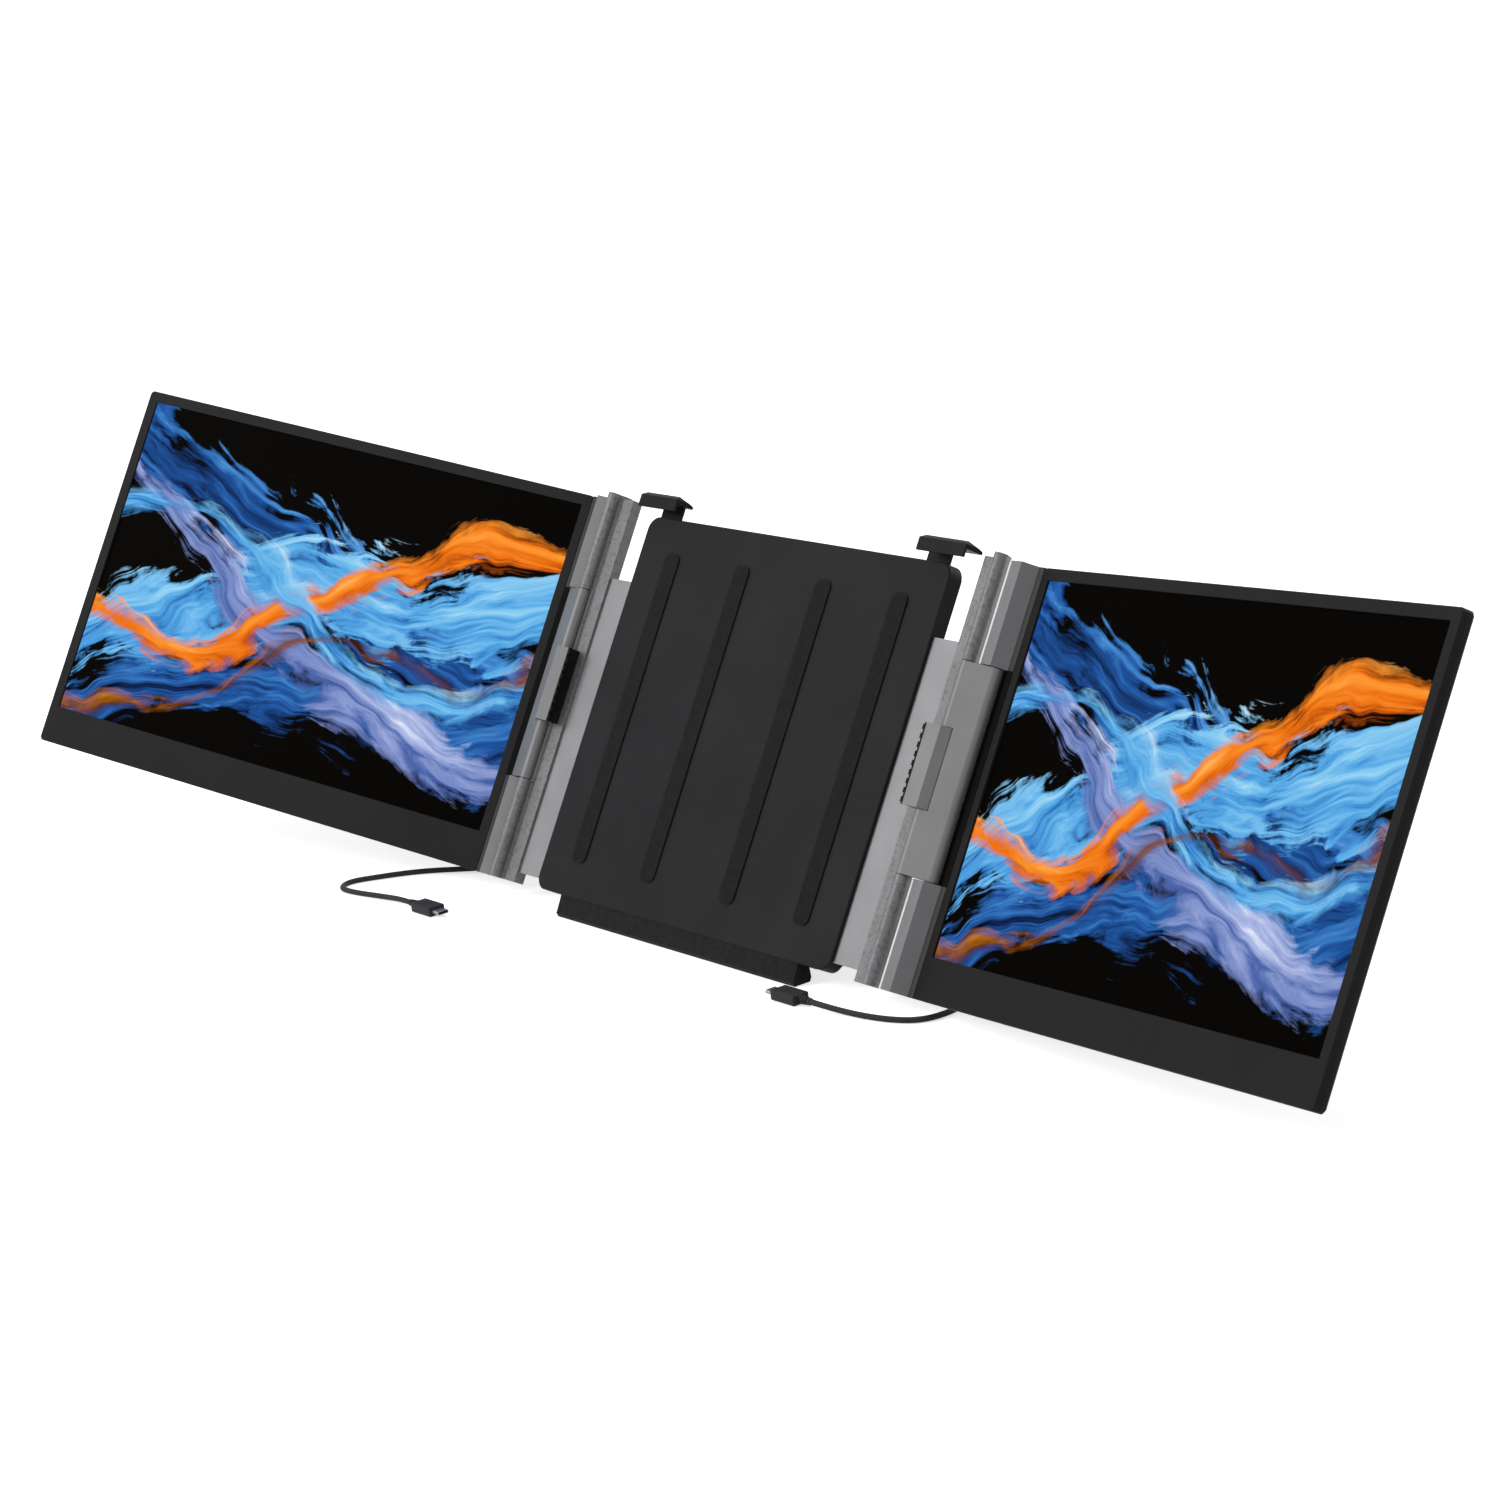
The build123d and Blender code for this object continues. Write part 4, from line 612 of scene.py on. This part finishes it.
def ribbon(material, across, up, under, line, width, stops, seed):
    """Lays one streaky ribbon over the picture so far; line is (height, slope, sway, waves)."""
    height, slope, sway, waves = line
    phase = add(material, "ShaderNodeMath", {"operation": "MULTIPLY_ADD"}, i0=across, i1=waves,
                i2=seed)
    wave = add(material, "ShaderNodeMath", {"operation": "SINE"}, i0=phase)
    middle = add(material, "ShaderNodeMath", {"operation": "MULTIPLY_ADD"}, i0=across, i1=slope,
                 i2=height)
    middle = add(material, "ShaderNodeMath", {"operation": "MULTIPLY_ADD"}, i0=wave, i1=sway,
                 i2=middle)
    off = add(material, "ShaderNodeMath", {"operation": "SUBTRACT"}, i0=up, i1=middle)
    along = add(material, "ShaderNodeMath", {"operation": "MULTIPLY"}, i0=across, i1=STREAKS_ALONG)
    over = add(material, "ShaderNodeMath", {"operation": "MULTIPLY"}, i0=off, i1=STREAKS_ACROSS)
    streak_place = add(material, "ShaderNodeCombineXYZ", X=along, Y=over, Z=seed)
    streak = add(material, "ShaderNodeTexNoise", Vector=streak_place, Scale=1.0, Detail=7.0,
                 Roughness=0.62, Distortion=1.3)
    plume_place = add(material, "ShaderNodeCombineXYZ", X=across, Y=up, Z=seed)
    plume = add(material, "ShaderNodeTexNoise", Vector=plume_place, Scale=3.4, Detail=5.0,
                Roughness=0.6)
    swell = add(material, "ShaderNodeMath", {"operation": "MULTIPLY_ADD"}, i0=plume, i1=2.4,
                i2=-0.55)
    reach = add(material, "ShaderNodeMath", {"operation": "MULTIPLY"}, i0=swell, i1=width)
    fringe = add(material, "ShaderNodeMath", {"operation": "SUBTRACT"}, i0=streak, i1=0.5)
    reach = add(material, "ShaderNodeMath", {"operation": "MULTIPLY_ADD"}, i0=fringe,
                i1=width * FEATHER, i2=reach)
    distance = add(material, "ShaderNodeMath", {"operation": "ABSOLUTE"}, i0=off)
    edge = add(material, "ShaderNodeMath", {"operation": "SUBTRACT"}, i0=reach, i1=distance)
    cover = add(material, "ShaderNodeMath", {"operation": "MULTIPLY", "use_clamp": True}, i0=edge,
                i1=SHARPNESS)
    cover = add(material, "ShaderNodeMath", {"operation": "POWER"}, i0=cover, i1=0.8)
    share = add(material, "ShaderNodeMath", {"operation": "DIVIDE"}, i0=off, i1=width)
    shade = add(material, "ShaderNodeMath", {"operation": "MULTIPLY_ADD"}, i0=streak, i1=1.7,
                i2=-0.36)
    shade = add(material, "ShaderNodeMath", {"operation": "MULTIPLY_ADD", "use_clamp": True},
                i0=share, i1=0.17, i2=shade)
    colour = add(material, "ShaderNodeValToRGB", {"stops": stops}, i0=shade)
    laid = add(material, "ShaderNodeMix", {"data_type": "RGBA"}, i0=cover, i6=under, i7=colour)
    return laid.outputs[2]


NAVY = [(0.0, "#020308"), (0.3, "#0c2552"), (0.55, "#1f559f"), (0.78, "#3f83c9"),
        (1.0, "#79b4e6")]
SKY = [(0.0, "#0a2550"), (0.28, "#2a71be"), (0.52, "#57a9e6"), (0.76, "#8fd0f4"),
       (1.0, "#dcecfa")]
LILAC = [(0.0, "#16264f"), (0.35, "#5069ad"), (0.62, "#8f9fd4"), (0.85, "#b9c4ea"),
         (1.0, "#e8ecfb")]
EMBER = [(0.0, "#3d1502"), (0.28, "#b14604"), (0.5, "#f07512"), (0.76, "#ff9a33"),
         (1.0, "#ffd08a")]
RUST = [(0.0, "#0c0502"), (0.4, "#6a3206"), (0.7, "#b0660f"), (1.0, "#e89a2c")]
print("lit area", round(ASPECT, 3), "to 1")

# %% The picture
DRIFT = 0.34

picture, picture_shader = new_material("backlit_lcd_picture")
uv = add(picture, "ShaderNodeTexCoord").outputs["UV"]
raw = add(picture, "ShaderNodeMapping", Vector=uv, Scale=(ASPECT, 1.0, 1.0))
drift = add(picture, "ShaderNodeTexNoise", Vector=raw, Scale=1.7, Detail=3.0, Roughness=0.5)
shifted = add(picture, "ShaderNodeVectorMath", {"operation": "MULTIPLY_ADD"},
              i0=drift.outputs["Color"], i1=(DRIFT, DRIFT, 0.0), i2=raw)
parts = add(picture, "ShaderNodeSeparateXYZ", Vector=shifted)
across = add(picture, "ShaderNodeMath", {"operation": "SUBTRACT"}, i0=parts.outputs[0],
             i1=DRIFT / 2)
up = add(picture, "ShaderNodeMath", {"operation": "SUBTRACT"}, i0=parts.outputs[1], i1=DRIFT / 2)

layers = linear("#050301")
layers = ribbon(picture, across, up, layers, (0.86, -0.30, 0.07, 3.1), 0.19, NAVY, 1.7)
layers = ribbon(picture, across, up, layers, (0.10, 0.12, 0.06, 4.4), 0.15, NAVY, 5.2)
layers = ribbon(picture, across, up, layers, (0.20, 0.34, 0.10, 2.6), 0.20, SKY, 0.4)
layers = ribbon(picture, across, up, layers, (0.70, -0.34, 0.10, 2.9), 0.10, LILAC, 8.3)
layers = ribbon(picture, across, up, layers, (0.34, 0.24, 0.13, 3.6), 0.085, EMBER, 3.1)
layers = ribbon(picture, across, up, layers, (0.62, -0.16, 0.12, 4.1), 0.06, SKY, 6.6)
layers = ribbon(picture, across, up, layers, (0.06, 0.30, 0.08, 5.0), 0.045, RUST, 9.7)

wire(picture, layers, picture_shader, "Emission Color")
picture_shader.inputs["Emission Strength"].default_value = 1.0
picture_shader.inputs["Base Color"].default_value = linear("#020202")
picture_shader.inputs["Roughness"].default_value = 0.34
picture_shader.inputs["IOR"].default_value = 1.03
print("picture nodes", len(picture.node_tree.nodes))

# %% [markdown]
# ### The panels
#
# A display's hinge axis stands one link away from the frame's own. A panel is a thin plate of
# glass, seated behind the bezel's window and 3 mm larger all round.
# Its UV map runs over the lit area, from 0 to 1, left to right as the user sees it.

# %% Display panels
INNER_AXIS = (189.2, 5.2)
LINK_PITCH = 18.9
LINK_ANGLE = math.radians(20.2)
OUTER_AXIS = (INNER_AXIS[0] + LINK_PITCH * math.cos(LINK_ANGLE),
              INNER_AXIS[1] + LINK_PITCH * math.sin(LINK_ANGLE))
FOLD = {"left": 20.6, "right": 10.3}
BORDER = 3.0


def screen_matrix(side):
    """Places what is drawn about a display's hinge axis, in millimetres."""
    fold = Matrix.Rotation(math.radians(-FOLD[side]), 4, "Z")
    place = Matrix.Translation((*OUTER_AXIS, 0)) @ fold
    if side == "left":
        place = FLIP @ place
    return leaning_matrix() @ place


def display_panel(side):
    shape = bmesh.new()
    border = Vector((BORDER, 0, BORDER))
    rounded_box(shape, LIT_LOW - border, LIT_HIGH + border, 0.12, 1)
    layer = shape.loops.layers.uv.new("picture")
    for face in shape.faces:
        for loop in face.loops:
            u = (loop.vert.co.x - LIT_LOW.x) / (LIT_HIGH.x - LIT_LOW.x)
            v = (loop.vert.co.z - LIT_LOW.z) / (LIT_HIGH.z - LIT_LOW.z)
            loop[layer].uv = (1 - u if side == "left" else u, v)
    panel = new_piece(side + "_display_glass", shape, screen_matrix(side), [picture])
    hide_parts(side + "_lcd_panel")
    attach(panel, side + "_screen")
    return panel


displays = [display_panel(side) for side in ("left", "right")]
print("displays", [tuple(round(v, 3) for v in d.dimensions) for d in displays])

# %% [markdown]
# ## The strip beside the link
#
# A moulded strip closes each display's edge between its two arms. CAD has it as a plain bar. The
# real one also cups the link's barrel, with a running gap of 0.4 mm, so that no light comes
# through between them. Its section is drawn about the hinge axis: an arc, then the bar's corners.

# %% Strip beside the link
HOLLOW = 4.6
STRIP_LIP, STRIP_WRAP = 3.9, 1.0
STRIP_FRONT, STRIP_BACK, STRIP_SIDE = 3.6, 11.2, 11.55
STRIP_SHOULDER, STRIP_HIP = 8.6, 1.6
STRIP_LOW, STRIP_HIGH = 52.9, 181.1
ARC_STEPS = 8


def edge_strip(side):
    start = math.acos(-STRIP_WRAP / HOLLOW)
    stop = math.asin(STRIP_LIP / HOLLOW)
    angles = [start + (stop - start) * step / ARC_STEPS for step in range(ARC_STEPS + 1)]
    section = [(HOLLOW * math.cos(angle), HOLLOW * math.sin(angle)) for angle in angles]
    section += [(HOLLOW, STRIP_LIP), (HOLLOW + 0.6, STRIP_FRONT), (STRIP_SIDE, STRIP_FRONT),
                (STRIP_SIDE, STRIP_BACK), (STRIP_HIP, STRIP_BACK), (-STRIP_WRAP, STRIP_SHOULDER)]
    shape = bmesh.new()
    ring = [shape.verts.new((x, y, STRIP_LOW)) for x, y in section]
    base = shape.faces.new(ring)
    raised = bmesh.ops.extrude_face_region(shape, geom=[base])
    verts = [item for item in raised["geom"] if isinstance(item, bmesh.types.BMVert)]
    bmesh.ops.translate(shape, verts=verts, vec=(0, 0, STRIP_HIGH - STRIP_LOW))
    bmesh.ops.recalc_face_normals(shape, faces=shape.faces[:])
    strip = new_piece(side + "_edge_strip", shape, screen_matrix(side), [abs_strip])
    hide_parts(side + "_edge_trim")
    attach(strip, side + "_screen")
    return strip


strips = [edge_strip(side) for side in ("left", "right")]
print("edge strips", len(strips))

# %% [markdown]
# ## The arms' painted highlight and painted shade
#
# The arms' finish has to know how far a point lies from the hinge axis, across the display. That
# is a dot product with the display's own outward direction. Where it passes the edge's place, on
# the front face, a thin near-white stripe is painted into the colour: a painted highlight. The
# arm's shoulder is masked in the same way and painted dark grey: painted shade where the surface
# turns away from the light.

# %% Arm finish
# Limits of the near-white painted highlight on the arms' front, in mm from the hinge axis.
PAINTED_HIGHLIGHT_EDGE = -8.6
PAINTED_HIGHLIGHT_FRONT = -4.4
# Outward of this the arm's colour is darkened: painted shade on the shoulder.
SHOULDER = 6.3


def arm_metal(side):
    material = blasted("anodised_aluminium_arm_" + side, "#868688", "#808082", 0.6, 1.6, 0.0,
                       0.02, 0.08)
    shader = material.node_tree.nodes["Principled BSDF"]
    upright = screen_matrix(side).to_3x3()
    origin = screen_matrix(side).translation
    place = add(material, "ShaderNodeTexCoord").outputs["Object"]
    offset = add(material, "ShaderNodeVectorMath", {"operation": "SUBTRACT"}, i0=place, i1=origin)

    def along(axis):
        direction = (upright @ Vector(axis)).normalized()
        dot = add(material, "ShaderNodeVectorMath", {"operation": "DOT_PRODUCT"}, i0=offset,
                  i1=direction)
        return add(material, "ShaderNodeMath", {"operation": "DIVIDE"}, i0=dot.outputs["Value"],
                   i1=MM)

    out, back = along((1, 0, 0)), along((0, 1, 0))
    # Mask for the painted highlight: the front face, inward of the edge's place.
    near = add(material, "ShaderNodeMath", {"operation": "LESS_THAN"}, i0=out, i1=PAINTED_HIGHLIGHT_EDGE)
    front = add(material, "ShaderNodeMath", {"operation": "LESS_THAN"}, i0=back, i1=PAINTED_HIGHLIGHT_FRONT)
    painted_highlight_mask = add(material, "ShaderNodeMath", {"operation": "MULTIPLY"}, i0=near, i1=front)
    # Painted shade: the shoulder's colour is darkened to #434344.
    painted_shade_mask = add(material, "ShaderNodeMath", {"operation": "GREATER_THAN"}, i0=out, i1=SHOULDER)
    old_colour = shader.inputs["Base Color"].links[0].from_socket
    painted_shade = add(material, "ShaderNodeMix", {"data_type": "RGBA"}, i0=painted_shade_mask, i6=old_colour,
                 i7=linear("#434344"))
    # Painted highlight: the masked front edge's colour becomes near-white #f2f2f2.
    painted_highlight = add(material, "ShaderNodeMix", {"data_type": "RGBA"}, i0=painted_highlight_mask, i6=painted_shade.outputs[2],
                 i7=linear("#f2f2f2"))
    wire(material, painted_highlight.outputs[2], shader, "Base Color")
    return material


print("arm finish ready")

# %% [markdown]
# ## Finishes on the CAD parts
#
# Every CAD part keeps its shape and gets the finish of what it is made of. One table says which.

# %% Finish table
light_guide, light_guide_shader = new_material("acrylic_light_guide")
guide_place = add(light_guide, "ShaderNodeTexCoord").outputs["Object"]
guide_dots = add(light_guide, "ShaderNodeTexVoronoi", Vector=guide_place, Scale=1 / (1.2 * MM))
guide_tint = add(light_guide, "ShaderNodeValToRGB",
                 {"stops": [(0.0, "#f2f2ee"), (0.5, "#d9d9d4")]}, i0=guide_dots)
wire(light_guide, guide_tint, light_guide_shader, "Base Color")
light_guide_shader.inputs["Roughness"].default_value = 0.4

finishes = {
    "frame_front_shell": abs_frame, "frame_back_shell": abs_frame, "chassis_plate": steel,
    "slide_rails": acetal, "lid_pads": silicone, "frame_screws": steel, "driver_board": laminate,
    "port_sockets": steel, "kickstand_pins": steel, "desk_foot": foot_rubber,
    "kickstand_plate": milled, "kickstand_foot": foot_rubber,
}
side_finishes = {
    "bracket": rail_metal, "jaw": jaw_metal, "jaw_pad": silicone, "slide_plate": milled,
    "inner_pin": steel, "link": link_metal, "outer_pin": steel, "hinge_washers": acetal,
    "bezel": abs_bezel, "backlight": light_guide,
    "back_cover": abs_cover, "screen_board": laminate, "screen_screws": steel,
    "power_button": acetal, "menu_button": acetal, "clip": abs_clip,
}
for side in ("left", "right"):
    for name, material in side_finishes.items():
        finishes[side + "_" + name] = material
    arm_finish = arm_metal(side)
    for level in ("lower", "upper"):
        finishes[side + "_" + level + "_arm"] = arm_finish
for name, material in finishes.items():
    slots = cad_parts[name].material_slots
    for slot in slots:
        slot.material = material
    if not slots:
        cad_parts[name].data.materials.append(material)
print("finished CAD parts", len(finishes))

# %% [markdown]
# ## Floor and light
#
# The extender stands on a pale table top that fades into a white room. The floor shows its own
# light to the camera and in reflections, a little more of it farther away where the lamps are
# weak, so that it stays white without flooding the object. It still takes a soft shadow. The
# lamps are large soft boxes: a strong one high on the left front, a weak one on the right, one
# overhead, and a low one behind for the backs, which face down to the table.

# %% Floor
FLOOR_HALF = 15.0
FLOOR_DROP = 0.0002
NEAR_GLOW, FAR_GLOW = 0.62, 1.0

floor_shape = bmesh.new()
bmesh.ops.create_grid(floor_shape, x_segments=1, y_segments=1, size=FLOOR_HALF,
                      matrix=Matrix.Translation((0, 0, -FLOOR_DROP)))
floor_material, floor_shader = new_material("white_table_top")
light_path = add(floor_material, "ShaderNodeLightPath")
seen = add(floor_material, "ShaderNodeMath", {"operation": "ADD"},
           i0=light_path.outputs["Is Camera Ray"], i1=light_path.outputs["Is Glossy Ray"])
seen = add(floor_material, "ShaderNodeMath", {"operation": "ADD", "use_clamp": True}, i0=seen,
           i1=light_path.outputs["Is Transmission Ray"])
floor_place = add(floor_material, "ShaderNodeTexCoord").outputs["Object"]
away = add(floor_material, "ShaderNodeVectorMath", {"operation": "LENGTH"}, i0=floor_place)
glow = add(floor_material, "ShaderNodeMapRange", Value=away.outputs["Value"], From_Min=1.0,
           From_Max=4.0, To_Min=NEAR_GLOW, To_Max=FAR_GLOW)
shown = add(floor_material, "ShaderNodeMath", {"operation": "MULTIPLY"}, i0=seen, i1=glow)
floor_shader.inputs["Base Color"].default_value = linear("#f0f0f0")
floor_shader.inputs["Roughness"].default_value = 0.9
floor_shader.inputs["Specular IOR Level"].default_value = 0.0
floor_shader.inputs["Emission Color"].default_value = (1, 1, 1, 1)
wire(floor_material, shown, floor_shader, "Emission Strength")
floor = new_piece("floor", floor_shape, Matrix.Identity(4), [floor_material])
print("floor", tuple(round(v, 1) for v in floor.dimensions))

# %% World
world = bpy.data.worlds.new("white_room")
bpy.context.scene.world = world
world.use_nodes = True
world.node_tree.nodes.clear()
room_path = add(world, "ShaderNodeLightPath")
through = add(world, "ShaderNodeMath", {"operation": "ADD"},
              i0=room_path.outputs["Is Glossy Ray"], i1=room_path.outputs["Is Transmission Ray"])
seen_room = add(world, "ShaderNodeMath", {"operation": "ADD", "use_clamp": True},
                i0=room_path.outputs["Is Camera Ray"], i1=through)
strength = add(world, "ShaderNodeMapRange", Value=seen_room, To_Min=0.28, To_Max=1.0)
room = add(world, "ShaderNodeBackground", Color=(1, 1, 1, 1), Strength=strength)
add(world, "ShaderNodeOutputWorld", Surface=room)
print("room nodes", len(world.node_tree.nodes))

# %% Lamps
LAMP_AIM = Vector((0, 0.05, 0.15))


def soft_box(name, place, size, power):
    """A square soft box that faces the middle of the extender."""
    data = bpy.data.lights.new(name, "AREA")
    data.shape = "SQUARE"
    data.size = size
    data.energy = power
    lamp = bpy.data.objects.new(name, data)
    bpy.context.scene.collection.objects.link(lamp)
    turned = (Vector(place) - LAMP_AIM).to_track_quat("Z", "Y").to_matrix().to_4x4()
    lamp.matrix_world = Matrix.Translation(place) @ turned
    return lamp


soft_box("key_box", (-1.6, -2.3, 2.1), 1.6, 70)
soft_box("fill_box", (2.8, -0.6, 1.8), 1.4, 8)
soft_box("top_box", (0.2, 0.6, 3.0), 1.8, 30)
soft_box("back_box", (0.4, 3.0, 0.9), 1.6, 36)
bpy.context.scene.view_settings.view_transform = "Standard"
print("lamps", 4)

# %% [markdown]
# ## Last step
#
# The view layer is updated once more.

# %% Finish
bpy.context.view_layer.update()
